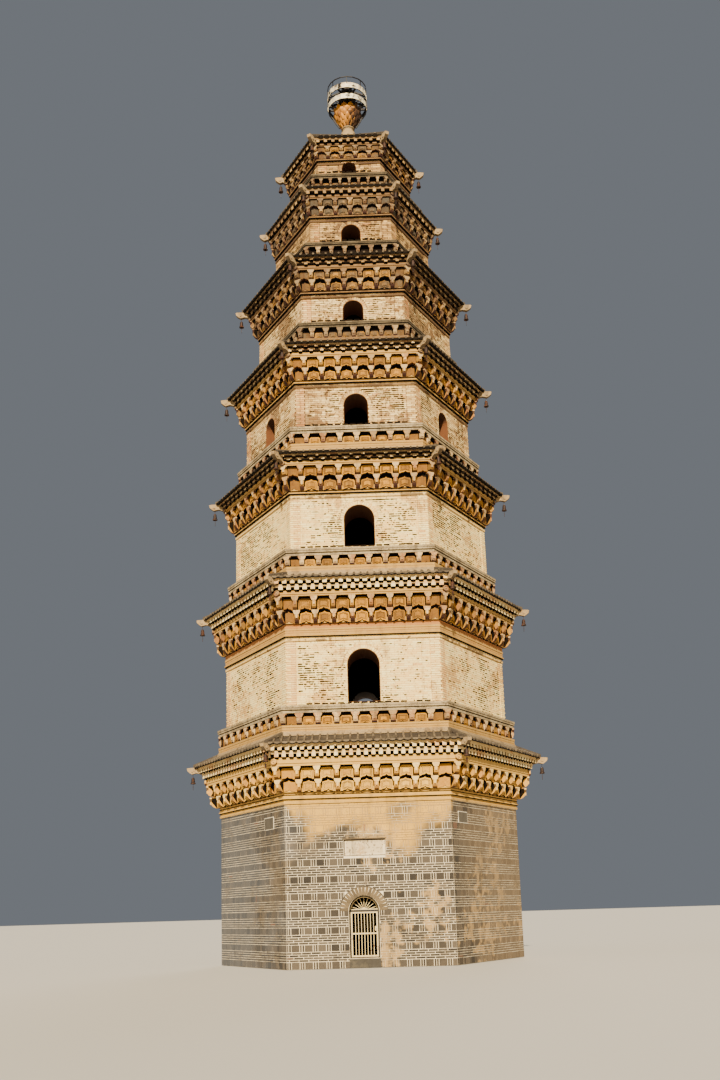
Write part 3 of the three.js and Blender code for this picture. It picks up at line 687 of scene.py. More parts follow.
class Tree(NodeTree):
    """A Geometry Nodes tree while it is being put together."""

    def __init__(self, name: str) -> None:
        """Starts a tree with a geometry input and output."""
        self.tree = bpy.data.node_groups.new(name, "GeometryNodeTree")
        for way in ("INPUT", "OUTPUT"):
            self.tree.interface.new_socket("Geometry", in_out=way, socket_type="NodeSocketGeometry")
        self.entry = self.node("NodeGroupInput")
        self.exit = self.node("NodeGroupOutput")
        self.keys: dict[str, str] = {}

    def size(self, name: str, kind: str = "Float", default: object = None) -> Socket:
        """Adds a named input to the tree.

        Args:
            name: The input's name.
            kind: Float, Int, Object or Material.
            default: Its default value.

        Returns:
            The input's socket inside the tree.
        """
        item = self.tree.interface.new_socket(name, in_out="INPUT", socket_type=f"NodeSocket{kind}")
        if default is not None:
            item.default_value = default
        self.keys[name] = item.identifier
        return next(socket for socket in self.entry.outputs if socket.identifier == item.identifier)

    def vector(self, x: object, y: object, z: object) -> Socket:
        """Joins three numbers into a vector."""
        return self.node("ShaderNodeCombineXYZ", {0: x, 1: y, 2: z}).outputs[0]

    def scaled(self, vector: object, factor: object) -> Socket:
        """Multiplies a vector by a number."""
        return self.node("ShaderNodeVectorMath", {0: vector, "Scale": factor}, operation="SCALE").outputs[0]

    def chance(self, low: object, high: object, seed: object, kind: str = "FLOAT") -> Socket:
        """Draws a random number or vector for each point, always the same for the same seed."""
        made = self.node("FunctionNodeRandomValue", data_type=kind)
        ports = {socket.name: socket for socket in made.inputs if socket.enabled}
        for name, value in (("Min", low), ("Max", high), ("Seed", seed)):
            self.feed(ports[name], value)
        return next(socket for socket in made.outputs if socket.enabled)

    def push(self, seed: object, amount: object) -> Socket:
        """Draws a random vector of at most an amount along each axis."""
        return self.scaled(self.chance((-1, -1, -1), (1, 1, 1), seed, "FLOAT_VECTOR"), amount)

    def store(self, geometry: Socket, name: str, value: object, kind: str = "FLOAT") -> Socket:
        """Stores a value on every point under a name."""
        made = self.node("GeometryNodeStoreNamedAttribute", data_type=kind, domain="POINT")
        ports = {socket.name: socket for socket in made.inputs if socket.enabled}
        for port, content in (("Geometry", geometry), ("Name", name), ("Value", value)):
            self.feed(ports[port], content)
        return made.outputs["Geometry"]

    def stored(self, name: str, kind: str = "FLOAT_VECTOR") -> Socket:
        """Reads a stored value."""
        made = self.node("GeometryNodeInputNamedAttribute", {"Name": name}, data_type=kind)
        return next(socket for socket in made.outputs if socket.enabled and socket.name == "Attribute")

    def lay(self, points: Socket, piece: Socket, scale: object, finish: Socket) -> None:
        """Puts the piece on every point, realises it, sets its material and ends the tree.

        Args:
            points: The points, with the turn of each copy stored on them.
            piece: The object socket of the piece.
            scale: The scale of each copy.
            finish: The material socket.
        """
        source = self.node("GeometryNodeObjectInfo", {"Object": piece})
        copies = self.node("GeometryNodeInstanceOnPoints", {
            "Points": points, "Instance": source.outputs["Geometry"], "Rotation": self.stored("turn"),
            "Scale": scale})
        real = self.node("GeometryNodeRealizeInstances", {"Geometry": copies.outputs["Instances"]})
        inputs = {"Geometry": real.outputs["Geometry"], "Material": finish}
        coat = self.node("GeometryNodeSetMaterial", inputs)
        self.feed(self.exit.inputs[0], coat.outputs["Geometry"])

    def grow(self, name: str, host: bpy.types.Mesh | None = None, **values: object) -> Part:
        """Runs the tree and keeps its result as a plain mesh.

        Args:
            name: The name of the object.
            host: The mesh that the tree starts from.
            **values: The tree's inputs, with spaces written as underscores.

        Returns:
            The object, without a modifier.
        """
        made = bpy.data.objects.new(name, host or bpy.data.meshes.new(name))
        bpy.context.scene.collection.objects.link(made)
        modifier = made.modifiers.new("repeat", "NODES")
        modifier.node_group = self.tree
        for key, value in values.items():
            modifier[self.keys[key.replace("_", " ")]] = value
        graph = bpy.context.evaluated_depsgraph_get()
        result = bpy.data.meshes.new_from_object(made.evaluated_get(graph), preserve_all_data_layers=True,
                                                 depsgraph=graph)
        made.modifiers.clear()
        spent = made.data
        made.data = result
        bpy.data.meshes.remove(spent)
        result.name = name
        for extra in [item.name for item in result.attributes if item.name in ("turn", "size")]:
            result.attributes.remove(result.attributes[extra])
        return made


class FaceRows(Tree):
    """Rows of one piece round the six faces, clipped where a face ends at its corners."""

    def __init__(self) -> None:
        """Builds the tree."""
        super().__init__("rows_round_the_faces")
        piece, finish = self.size("Piece", "Object"), self.size("Finish", "Material")
        columns, rows, seed = (self.size(name, "Int", value)
                               for name, value in (("Columns", 8), ("Rows", 1), ("Seed", 0)))
        pitch, apothem = self.size("Pitch", default=0.5), self.size("Apothem", default=4.0)
        height, step, drift, margin, tilt, turn, jitter = (
            self.size(name, default=0.0)
            for name in ("Height", "Row Step", "Row Drift", "Margin", "Tilt", "Turn", "Jitter"))

        index = self.node("GeometryNodeInputIndex").outputs[0]
        per_face = self.times(columns, rows)
        face = self.maths("FLOOR", self.maths("DIVIDE", self.add(index, 0.5), per_face))
        within = self.less(index, self.times(face, per_face))
        row = self.maths("FLOOR", self.maths("DIVIDE", self.add(within, 0.5), columns))
        column = self.less(within, self.times(row, columns))
        across = self.times(self.less(column, self.times(self.less(columns, 1.0), 0.5)), pitch)
        out = self.add(apothem, self.times(row, drift))
        level = self.add(height, self.times(row, step))
        angle = self.add(self.times(face, FACE_STEP), turn)
        flat = self.vector(across, self.times(out, -1.0), level)
        spin = self.node("ShaderNodeVectorRotate", {"Vector": flat, "Angle": angle}, rotation_type="Z_AXIS")
        place = self.node("ShaderNodeVectorMath", {0: spin.outputs[0], 1: self.push(seed, jitter)},
                          operation="ADD")

        points = self.node("GeometryNodePoints", {
            "Count": self.times(per_face, float(SIDES)), "Position": place.outputs[0]})
        laid = self.store(points.outputs[0], "turn", self.vector(tilt, 0.0, angle), "FLOAT_VECTOR")
        laid = self.store(laid, "tone", self.chance(0.0, 1.0, self.add(seed, 1.0)))
        half = self.less(self.times(out, HALF_WIDTH), margin)
        laid = self.store(laid, "beyond", self.less(self.maths("ABSOLUTE", across), half))
        clip = self.node("GeometryNodeDeleteGeometry", {
            "Geometry": laid, "Selection": self.maths("GREATER_THAN", self.stored("beyond", "FLOAT"))},
            domain="POINT")
        self.lay(clip.outputs[0], piece, (1.0, 1.0, 1.0), finish)


class LaidPieces(Tree):
    """One piece on each point of a host mesh, with the turn, the size and the stain stored on it."""

    def __init__(self) -> None:
        """Builds the tree."""
        super().__init__("pieces_laid_on_points")
        piece, finish = self.size("Piece", "Object"), self.size("Finish", "Material")
        unevenness, seed = self.size("Unevenness", default=0.0), self.size("Seed", "Int", 0)
        toned = self.store(self.entry.outputs[0], "tone", self.chance(0.0, 1.0, seed))
        shift = self.node("GeometryNodeSetPosition", {
            "Geometry": toned, "Offset": self.push(self.add(seed, 1.0), unevenness)})
        self.lay(shift.outputs[0], piece, self.stored("size"), finish)


@dataclass
class Laid:
    """A piece's place in a wall: its middle, its turn, its size and how stained it is."""

    place: Place
    turn: Place
    size: Place
    stain: float = 0.0


class Workshop:
    """The repeated pieces' shapes and the two trees that lay them."""

    def __init__(self) -> None:
        """Builds the trees and an empty store of shapes."""
        self.rows = FaceRows()
        self.laid = LaidPieces()
        self.shapes: dict[str, Part] = {}

    def shape(self, name: str, build: Callable[[str], Part]) -> Part:
        """Returns a repeated piece's shape, built at its first use."""
        if name not in self.shapes:
            self.shapes[name] = build(f"shape_{name}")
        return self.shapes[name]

    def brick(self) -> Part:
        """Returns a block of 1 m each way about its middle."""
        square = [(-0.5, -0.5), (0.5, -0.5), (0.5, 0.5), (-0.5, 0.5)]
        return self.shape("block", lambda name: prism(name, square, -0.5, 0.5))

    def row(self, name: str, piece: Part, finish: Finish, columns: int, pitch: float, apothem: float,
            height: float, **more: object) -> Part:
        """Lays rows of a piece round the faces.

        Args:
            name: The name of the result.
            piece: The repeated shape, standing at the origin and facing -Y.
            finish: Its finish.
            columns: How many stand in a row on each face.
            pitch: Their spacing.
            apothem: How far from the axis the row lies.
            height: How high the row lies.
            **more: Further inputs of the tree.

        Returns:
            All the copies as one object.
        """
        return self.rows.grow(name, Piece=piece, Finish=material_of(finish), Columns=columns, Pitch=pitch,
                              Apothem=apothem, Height=height, **more)

    def lay(self, name: str, pieces: Sequence[Laid], finish: Finish, seed: int, unevenness: float = 0.0,
            shape: Part | None = None) -> Part:
        """Lays a shape on each listed place and dresses the result.

        Args:
            name: The name of the result.
            pieces: The places.
            finish: Their finish.
            seed: The seed of their tones.
            unevenness: How far each may lie from its place.
            shape: The shape, or a block of 1 m.

        Returns:
            All the copies as one object.
        """
        host = bpy.data.meshes.new(name)
        host.from_pydata([piece.place for piece in pieces], [], [])
        for key in ("turn", "size"):
            layer = host.attributes.new(key, "FLOAT_VECTOR", "POINT")
            layer.data.foreach_set("vector", [value for piece in pieces for value in getattr(piece, key)])
        layer = host.attributes.new("stain", "FLOAT", "POINT")
        layer.data.foreach_set("value", [piece.stain for piece in pieces])
        made = self.laid.grow(name, host, Piece=shape or self.brick(), Finish=material_of(finish),
                              Unevenness=unevenness, Seed=seed)
        return dress(made, finish)

    def clear(self) -> None:
        """Removes the shapes once everything has been laid."""
        discard(self.shapes.values())
        self.shapes.clear()


# Measures

# Shares of the way from a storey's wall to its eave
PLAIN_OUT = 0.05
LOWER_CORE = 0.12
LOWER_FRONT = 0.38
UPPER_CORE = 0.14
UPPER_FRONT = 0.5
BEAM_CORE = 0.46
BEAM_FRONT = 0.54
HEADER_REACH = 0.3
EAVE_CORE = 0.5
EAVE_FRONT = 0.72
# Metres
BALCONY_SET_BACK = 0.06
NOSE_WIDTH = 0.125
LEDGE_HEIGHT = 0.06
LEDGE_PROUD = 0.08
LOWER_LEDGE = 0.045
HORN_REACH = 0.19
HORN_ROOT = 0.27
HORN_DROP = 0.22
HIP_RISE = 0.11
EAVE_UNDER = 0.06
EAVE_OVER = 0.05
GROUND_WALL = 4.75
WALL_THICKNESS = (1.5, 1.3, 1.15, 1.0, 0.9, 0.75, 0.6)
PYRAMID_HEAD = 0.33
EYE = 1.6
SIGHT = 32.0


@dataclass(frozen=True)
class Opening:
    """An arched opening in the middle part of a face."""

    width: float
    sill: float
    crown: float
    centre: float = 0.0
    ring: float = 0.13

    @property
    def spring(self) -> float:
        """The height at which the arch starts."""
        return self.crown - self.width / 2

    def covers(self, low: float, high: float) -> Point | None:
        """Tells which stretch of a course the opening and its ring take.

        Args:
            low: The foot of the course.
            high: Its top.

        Returns:
            The left and right end, or None where the course misses the opening.
        """
        if high < self.sill:
            return None
        outer = self.width / 2 + self.ring
        if low < self.spring:
            half = outer if (low + high) / 2 > self.spring else self.width / 2
            return self.centre - half, self.centre + half
        rise = (low + high) / 2 - self.spring
        if rise >= outer:
            return None
        half = math.sqrt(outer ** 2 - rise ** 2)
        return self.centre - half, self.centre + half


@dataclass(frozen=True)
class Tiers:
    """The brackets and rafter ends under one eave."""

    noses: int
    plain: float
    lower: float
    upper: float
    beam: float
    rafter_rows: int
    rafter_pitch: float
    end_space: float = 0.8


TIERS = [
    Tiers(8, 0.15, 0.36, 0.36, 0.25, 2, 0.212, 1.2),
    Tiers(8, 0.33, 0.38, 0.38, 0.17, 2, 0.235),
    Tiers(7, 0.04, 0.41, 0.30, 0.14, 2, 0.345),
    Tiers(7, 0.05, 0.35, 0.30, 0.14, 2, 0.33),
    Tiers(6, 0.04, 0.33, 0.28, 0.13, 2, 0.36),
    Tiers(5, 0.04, 0.28, 0.24, 0.11, 1, 0.27),
    Tiers(4, 0.03, 0.21, 0.18, 0.08, 1, 0.25),
]
WINDOWS = [
    Opening(0.96, 7.63, 9.22), Opening(0.93, 12.44, 13.74), Opening(0.76, 16.40, 17.45),
    Opening(0.66, 20.075, 20.775), Opening(0.64, 23.045, 23.715), Opening(0.49, 25.72, 26.26),
]
DOOR = Opening(0.88, 0.25, 2.03, -0.19, 0.25)
SIDE_WINDOW_STOREY = 4
SIDE_WINDOW = Opening(0.68, 16.40, 17.45)
SIDE_STONE_HEIGHT = 4.2
SIDE_STONES = [(1, -1.64, 0.56, 0.3), (5, 1.33, 0.6, 0.33)]


@dataclass(frozen=True)
class BalconyMeasures:
    """How thick a balcony's slab is, how tall its brackets are, and their count, width and panel rise."""

    slab: float
    bracket: float
    noses: int
    width: float
    rise: float


BALCONIES = [
    BalconyMeasures(0.22, 0.35, 8, 0.15, 0.86), BalconyMeasures(0.22, 0.32, 8, 0.14, 0.84),
    BalconyMeasures(0.21, 0.32, 7, 0.13, 0.8), BalconyMeasures(0.17, 0.35, 7, 0.12, 0.72),
    BalconyMeasures(0.13, 0.28, 6, 0.11, 0.42), BalconyMeasures(0.14, 0.23, 7, 0.07, 0.5),
]


@dataclass(frozen=True)
class Storey:
    """One storey's measures, read from the boxes of its CAD nodes."""

    number: int
    wall: float
    floor: float
    ledge: float
    eave: float
    edge: float
    tile_top: float
    wall_top: float
    head: float
    thick: float

    @classmethod
    def read(cls, number: int) -> "Storey":
        """Reads the storey with that number, counted from the ground."""
        roof_low, roof_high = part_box(f"storey_{number}_roof")
        cornice_low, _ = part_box(f"storey_{number}_cornice")
        wall_node = "ground_wall_back" if number == 1 else f"storey_{number}_wall"
        wall_low, wall_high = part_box(wall_node)
        top = number == len(TIERS)
        head = PYRAMID_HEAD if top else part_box(f"storey_{number + 1}_balcony")[1].x - 0.03
        tile_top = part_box("finial_pedestal")[0].z - SEAT if top else roof_high.z - HIP_RISE
        wall = GROUND_WALL if number == 1 else wall_high.x - LOWER_LEDGE
        return cls(number, wall, wall_low.z, cornice_low.z + LEDGE_HEIGHT, roof_high.x - HORN_REACH,
                   roof_low.z + HORN_DROP, tile_top, wall_high.z, head, WALL_THICKNESS[number - 1])

    @property
    def tiers(self) -> Tiers:
        """The brackets under this storey's eave."""
        return TIERS[self.number - 1]

    @property
    def low(self) -> bool:
        """Whether it is one of the two lowest storeys, with larger blocks and darker tiles."""
        return self.number < 3

    @property
    def under(self) -> float:
        """The height of the eave's underside."""
        return self.edge - EAVE_UNDER

    def out(self, share: float) -> float:
        """A corner radius at a share of the way from the wall to the eave."""
        return self.wall + share * (self.eave - self.wall)


# Walls


@dataclass(frozen=True)
class Course:
    """One course of a bond: its height, the joint above it and the lengths of its bricks in turn."""

    height: float
    joint: float
    lengths: tuple[float, ...]
    offset: float = 0.0


FLAT = 0.26
BED_JOINT = 0.016
END_JOINT = 0.014
SHORTEST_BRICK = 0.02
CORNER_OVERLAP = 0.006
STAINED_SHARE = 0.008
ARCH_STAINS = (0.0, 0.0, 0.1, 0.25)
BATTER_TOP = 0.18
BRICK_TOP = 0.181
GREY_BOND = (
    Course(0.19, 0.018, (0.225, 0.055, 0.055)),
    Course(0.052, BED_JOINT, (FLAT,), 0.13),
    Course(0.052, BED_JOINT, (FLAT,), 0.0),
    Course(0.052, BED_JOINT, (FLAT,), 0.13),
    Course(0.052, BED_JOINT, (FLAT,), 0.05),
)
LIME_BOND = (
    Course(0.054, 0.013, (0.25,), 0.0),
    Course(0.054, 0.013, (0.25,), 0.125),
)


@dataclass
class BrickFace:
    """Lays one face of a wall, course by course, round its openings."""

    side: int
    foot: float
    top: float
    bond: Sequence[Course]
    apothem: Callable[[float], float]
    openings: Sequence[Opening]
    chance: random.Random
    proud: float = 0.006
    depth: float = 0.03
    blocked: Sequence[tuple[float, float, float, float]] = ()
    strip: float = 0.0
    strip_proud: float = 0.014
    stripe: bool = False

    def put(self, across: float, height: float, out: float, turn: float = 0.0, size: Place = (1, 1, 1),
            stain: float = 0.0) -> Laid:
        """Places a piece on this face.

        Args:
            across: Its distance to the right of the face's middle.
            height: Its height.
            out: Its distance from the axis.
            turn: Its turn in the face's own plane.
            size: Its length, depth and height.
            stain: How stained it is.

        Returns:
            The placed piece.
        """
        angle = self.side * FACE_STEP
        x = across * math.cos(angle) + out * math.sin(angle)
        y = across * math.sin(angle) - out * math.cos(angle)
        return Laid((x, y, height), (0.0, turn, angle), size, stain)

    def free(self, low: float, high: float, half: float) -> list[Point]:
        """Lists the stretches of a course that no opening takes."""
        taken = [span for opening in self.openings if (span := opening.covers(low, high))]
        taken += [(left, right) for left, right, foot, top in self.blocked if foot < high and top > low]
        stretches = [(-half, half)]
        for left, right in taken:
            rest = []
            for start, end in stretches:
                rest += [(start, min(end, left))] if start < left else []
                rest += [(max(start, right), end)] if end > right else []
            stretches = rest
        return stretches

    def lay(self) -> list[Laid]:
        """Lays all the courses and returns their bricks."""
        bricks: list[Laid] = []
        level = self.foot
        number = 0
        while level < self.top - 0.02:
            course = self.bond[number % len(self.bond)]
            height = min(course.height, self.top - level)
            out = self.apothem(level + height / 2)
            for start, end in self.free(level, level + height, out * HALF_WIDTH - 0.004):
                inner = out * HALF_WIDTH - self.strip
                if not self.strip or end - start < 2 * self.strip:
                    bricks += self.stretch(start, end, level, height, out, course)
                    continue
                bricks += self.stretch(max(start, -inner), min(end, inner), level, height, out, course)
                edge = END_JOINT if self.strip else 0.0
                proud = out + self.strip_proud
                if start < -inner:
                    bricks += self.stretch(start - CORNER_OVERLAP, -inner - edge,
                                           level, height, proud, course)
                if end > inner:
                    bricks += self.stretch(inner + edge, end + CORNER_OVERLAP,
                                           level, height, proud, course)
            level += height + course.joint
            number += 1
        return bricks

    def stretch(self, start: float, end: float, level: float, height: float, out: float,
                course: Course) -> list[Laid]:
        """Fills one stretch of a course with bricks, the last ones cut to length."""
        bricks = []
        period = sum(course.lengths) + END_JOINT * len(course.lengths)
        cursor = math.floor((start + course.offset) / period) * period - course.offset
        place = 0
        while cursor < end:
            length = course.lengths[place % len(course.lengths)]
            left = max(cursor, start)
            right = min(cursor + length, end)
            if right - left > SHORTEST_BRICK:
                middle = (left + right) / 2
                edge = out * HALF_WIDTH + middle
                stain = 0.4 if self.stripe and 0.14 < edge < 0.25 else 0.0
                if self.chance.random() < STAINED_SHARE:
                    stain = self.chance.uniform(0.2, 0.6)
                bricks.append(self.put(
                    middle, level + height / 2, out + self.proud - self.depth / 2,
                    size=(right - left, self.depth, height), stain=stain,
                ))
            cursor += length + END_JOINT
            place += 1
        return bricks

    def ring(self, opening: Opening, thickness: float, gap: float) -> list[Laid]:
        """Lays the bricks of an arch over an opening, and a thin course over them.

        Args:
            opening: The opening.
            thickness: How thick each brick is along the arch.
            gap: The joint between two bricks.

        Returns:
            The arch's bricks.
        """
        middle = opening.width / 2 + opening.ring / 2 - 0.012
        count = max(5, round(math.pi * middle / (thickness + gap)))
        out = self.apothem(opening.spring) + self.proud + 0.004 - self.depth / 2
        size = (math.pi * middle / count - gap, self.depth, opening.ring - 0.03)
        return self.arc(opening, middle, count, out, size, ARCH_STAINS)

    def arc(self, opening: Opening, radius: float, count: int, out: float, size: Place,
            stains: Sequence[float] = ()) -> list[Laid]:
        """Lays a half circle of equal pieces over an opening, with the stains by chance."""
        bricks = []
        for place in range(count):
            angle = math.pi * (place + 0.5) / count
            bricks.append(self.put(
                opening.centre + radius * math.cos(angle), opening.spring + radius * math.sin(angle), out,
                turn=math.pi / 2 - angle, size=size, stain=self.chance.choice(stains) if stains else 0.0))
        return bricks


def reveal(name: str, opening: Opening, side: int, front: float, back: float) -> Part:
    """Lines an opening with a thin arch-shaped shell.

    Args:
        name: The object's name.
        opening: The opening.
        side: The face that it is in.
        front: The shell's distance from the axis at its front.
        back: The same at its back.

    Returns:
        The shell, closed all round.
    """
    segments = 16
    lining = 0.012

    def outline(inset: float) -> list[Point]:
        """Returns the opening's outline, drawn in by the inset."""
        half = opening.width / 2 - inset
        arch = [(opening.centre + half * math.cos(math.pi * i / segments),
                 opening.spring + half * math.sin(math.pi * i / segments)) for i in range(segments + 1)]
        return [(opening.centre + half, opening.sill + inset)] + arch + [
            (opening.centre - half, opening.sill + inset)]

    spin = Matrix.Rotation(side * FACE_STEP, 4, "Z")
    outer, inner = outline(0.001), outline(lining)
    count = len(outer)
    points = []
    for distance in (front, back):
        for shape in (outer, inner):
            points += [spin @ Vector((x, -distance, z)) for x, z in shape]
    faces = []
    for i in range(count):
        j = (i + 1) % count
        for first, second in ((0, 1), (1, 3), (3, 2), (2, 0)):
            faces.append([first * count + i, first * count + j, second * count + j, second * count + i])
    return solid(name, points, faces)


@dataclass
class GroundWalls:
    """The grey brick walls of the first storey, with the arch over the doorway and the stone tablet."""

    storey: Storey
    workshop: Workshop
    foot_radius: float = 4.8
    seed: int = 11

    def apothem(self, height: float) -> float:
        """The distance from the axis to the wall's face at a height."""
        share = min(1.0, height / (self.storey.ledge - BATTER_TOP))
        return (self.foot_radius + (self.storey.wall - self.foot_radius) * share) * APOTHEM

    def build(self) -> None:
        """Lays the six faces and dresses the nodes behind them."""
        chance = random.Random(self.seed)
        tablet_low, tablet_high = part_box("stone_tablet")
        joint = 0.025
        tablet = (tablet_low.x - joint, tablet_high.x + joint, tablet_low.z - joint, tablet_high.z + joint)
        door = Opening(DOOR.width, 0.0, DOOR.crown, DOOR.centre, DOOR.ring)
        bricks: list[Laid] = []
        for side in range(SIDES):
            front = side == 0
            face = BrickFace(side, 0.004, self.storey.ledge - BRICK_TOP, GREY_BOND, self.apothem,
                             [door] if front else [], chance, proud=0.007,
                             blocked=[tablet] if front else [])
            bricks += face.lay()
            if front:
                self.workshop.lay("ground_door_arch", face.ring(DOOR, 0.08, 0.011), ARCH_BRICK, self.seed)
                bricks += self.outer_arc(face)
        self.workshop.lay("ground_wall_bricks", bricks, GREY_BRICK, self.seed, 0.0018)
        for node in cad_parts:
            if node.startswith("ground_wall_"):
                repaint(node, GREY_MORTAR)
        self.corner_stones()
        repaint("stone_tablet", PALE_STONE)
        self.tablet_frame()
        self.tablet_hood()
        LOG.info("ground walls: %d bricks", len(bricks))

    def bare(self, side: int = 0) -> BrickFace:
        """Returns a face without courses, for placing single stones on."""
        return BrickFace(side, 0, 1, GREY_BOND, self.apothem, [], random.Random(side))

    def outer_arc(self, face: BrickFace) -> list[Laid]:
        """Lays the thin course that runs round the doorway's arch."""
        radius = DOOR.width / 2 + DOOR.ring - 0.012
        count = 14
        length = math.pi * radius / count
        out = self.apothem(DOOR.spring) + 0.012 - 0.015
        return face.arc(DOOR, radius, count, out, (length - 0.01, 0.03, 0.026))

    def corner_stones(self) -> None:
        """Lets a dark stone with a pale mortar edge into each side face near its front corner."""
        for name, edge, out, finish in (("ground_wall_stone_joints", 0.035, 0.0, GREY_MORTAR),
                                        ("ground_wall_corner_stones", 0.0, 0.004, GREY_STONE)):
            level = SIDE_STONE_HEIGHT
            stones = [self.bare(side).put(across, level, self.apothem(level) - 0.012 + out,
                                          size=(wide + edge, 0.06, tall + edge))
                      for side, across, wide, tall in SIDE_STONES]
            self.workshop.lay(name, stones, finish, self.seed)

    def tablet_frame(self) -> None:
        """Frames the bare stone tablet with a low moulding."""
        low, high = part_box("stone_tablet")
        bar = 0.05
        front = -low.y
        face = self.bare()
        middle = (low.x + high.x) / 2
        bars = []
        for level in (low.z + bar / 2, high.z - bar / 2):
            bars.append(face.put(middle, level, front, size=(high.x - low.x - 0.004, 0.02, bar)))
        for across in (low.x + bar / 2 + 0.002, high.x - bar / 2 - 0.002):
            bars.append(face.put(across, (low.z + high.z) / 2, front,
                                 size=(bar, 0.02, high.z - low.z - 2 * bar)))
        self.workshop.lay("stone_tablet_frame", bars, PALE_STONE, self.seed)

    def tablet_hood(self) -> None:
        """Lays the thin hood and sill courses round the tablet and the dark line under the hood."""
        low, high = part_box("stone_tablet")
        front = -low.y
        face = self.bare()
        middle, wide = (low.x + high.x) / 2, high.x - low.x
        courses = [face.put(middle, high.z + 0.03, front - 0.012, size=(wide + 0.1, 0.07, 0.044)),
                   face.put(middle, low.z - 0.014, front - 0.012, size=(wide + 0.02, 0.05, 0.024))]
        shade = [face.put(middle, high.z - 0.012, front - 0.002, size=(wide - 0.01, 0.032, 0.034)),
                 face.put(low.x + 0.006, (low.z + high.z) / 2, front - 0.002,
                          size=(0.02, 0.03, high.z - low.z))]
        self.workshop.lay("stone_tablet_hood", courses, ARCH_BRICK, self.seed)
        self.workshop.lay("stone_tablet_shade", shade, SHADE, self.seed)


WORN_DENSITY = (6.5, 4.5)
WORN_CLUSTERS = 8


@dataclass
class UpperWalls:
    """The limewashed brick walls of one upper storey, with their arched windows."""

    storey: Storey
    workshop: Workshop
    seed: int = 40

    def openings(self, side: int) -> list[Opening]:
        """Lists the openings of a face."""
        if side % 3 == 0:
            return [WINDOWS[self.storey.number - 2]]
        return [SIDE_WINDOW] if self.storey.number == SIDE_WINDOW_STOREY else []

    def apothem(self, height: float) -> float:
        """The distance from the axis to the wall's face at a height."""
        storey = self.storey
        share = min(1.0, (height - storey.floor) / (storey.ledge - BATTER_TOP - storey.floor))
        return (storey.wall + 0.025 * (1 - share)) * APOTHEM

    def build(self) -> None:
        """Lays the faces, their arches and worn joints, and lines the windows."""
        storey = self.storey
        chance = random.Random(self.seed + storey.number)
        bricks: list[Laid] = []
        gaps: list[Laid] = []
        linings = []
        for side in range(SIDES):
            openings = self.openings(side)
            for foot, top in ((storey.floor + 0.003, storey.ledge - BRICK_TOP),
                              (storey.ledge - 0.119, storey.ledge - 0.061)):
                face = BrickFace(side, foot, top, LIME_BOND, self.apothem, openings, chance, proud=0.004,
                                 strip=0.3 if foot < storey.ledge - 0.5 else 0.0, stripe=True)
                bricks += face.lay()
            gaps += self.worn_joints(face, openings, chance)
            for opening in openings:
                bricks += face.ring(opening, 0.06, 0.01)
                front = self.apothem(opening.spring) + 0.002
                linings.append(reveal("lining", opening, side, front, front - storey.thick + 0.02))
        name = f"storey_{storey.number}"
        look = LOOKS[storey.number]
        # Painted shade: the joint finish turns the chamber's inner walls near black inside this radius.
        inner = storey.wall - storey.thick / APOTHEM
        joint = replace(look.joint, name=f"{look.joint.name}_{storey.number}", hollow=inner + 0.2)
        self.workshop.lay(f"{name}_wall_bricks", bricks, look.brick, self.seed + storey.number, 0.0012)
        self.workshop.lay(f"{name}_open_joints", gaps, OPEN_JOINT_AND_SHADE, self.seed)
        dress(join(f"{name}_window_linings", linings), REVEAL)
        repaint(f"{name}_wall", joint)
        LOG.info("%s walls: %d bricks", name, len(bricks))

    def worn_joints(self, face: BrickFace, openings: Sequence[Opening], chance: random.Random) -> list[Laid]:
        """Scatters short dark joints where the limewash has fallen."""
        storey = self.storey
        pitch = LIME_BOND[0].height + LIME_BOND[0].joint
        courses = int((storey.ledge - 0.2 - storey.floor) / pitch)
        gaps = []
        half = storey.wall / 2 - 0.4
        clusters = [(chance.uniform(-half, half), chance.uniform(2, courses))
                    for _ in range(WORN_CLUSTERS)]
        density = WORN_DENSITY[storey.number == 2]
        for number in range(int(courses * storey.wall * density)):
            if number % 4:
                middle, row = chance.choice(clusters)
                across, row = chance.gauss(middle, 0.22), chance.gauss(row, 3)
            else:
                across, row = chance.uniform(-half, half), chance.uniform(1, courses)
            row = min(max(round(row), 1), courses - 1)
            across = min(max(across, -half), half)
            level = storey.floor + 0.003 + row * pitch - LIME_BOND[0].joint / 2
            out = self.apothem(level)
            length = chance.choice((0.03, 0.05, 0.07, 0.13))
            spans = [opening.covers(level - 0.01, level + 0.01) for opening in openings]
            if any(span and span[0] - length < across < span[1] + length for span in spans):
                continue
            gaps.append(face.put(across, level, out + 0.0055 - 0.01,
                                 size=(length, 0.02, chance.uniform(0.02, 0.044))))
        return gaps


# Cornices and balconies


def nose_profile(reach: float, height: float, cap: float, round_belly: bool) -> list[Point]:
    """The side of a bracket nose: a curved underside, a bulging front and a cap.

    Args:
        reach: How far it stands out.
        height: Its whole height.
        cap: The height of the cap on its front.
        round_belly: Whether it bulges like a disc; otherwise it rises from the wall like a half moon.

    Returns:
        (reach, height) points, starting inside the wall at its foot.
    """
    if round_belly:
        bend = [(0.0, 0.05), (0.4, 0.05), (0.66, 0.09), (0.86, 0.2), (0.97, 0.36), (1.0, 0.52), (0.95, 0.68)]
    else:
        bend = [(0.0, 0.0), (0.3, 0.03), (0.58, 0.12), (0.8, 0.26), (0.94, 0.42), (0.99, 0.58)]
    return [(-0.03, bend[0][1] * height), *[(out * reach * 0.985, up * height) for out, up in bend],
            (0.93 * reach, height - cap), (reach, height - cap), (reach, height), (-0.03, height)]


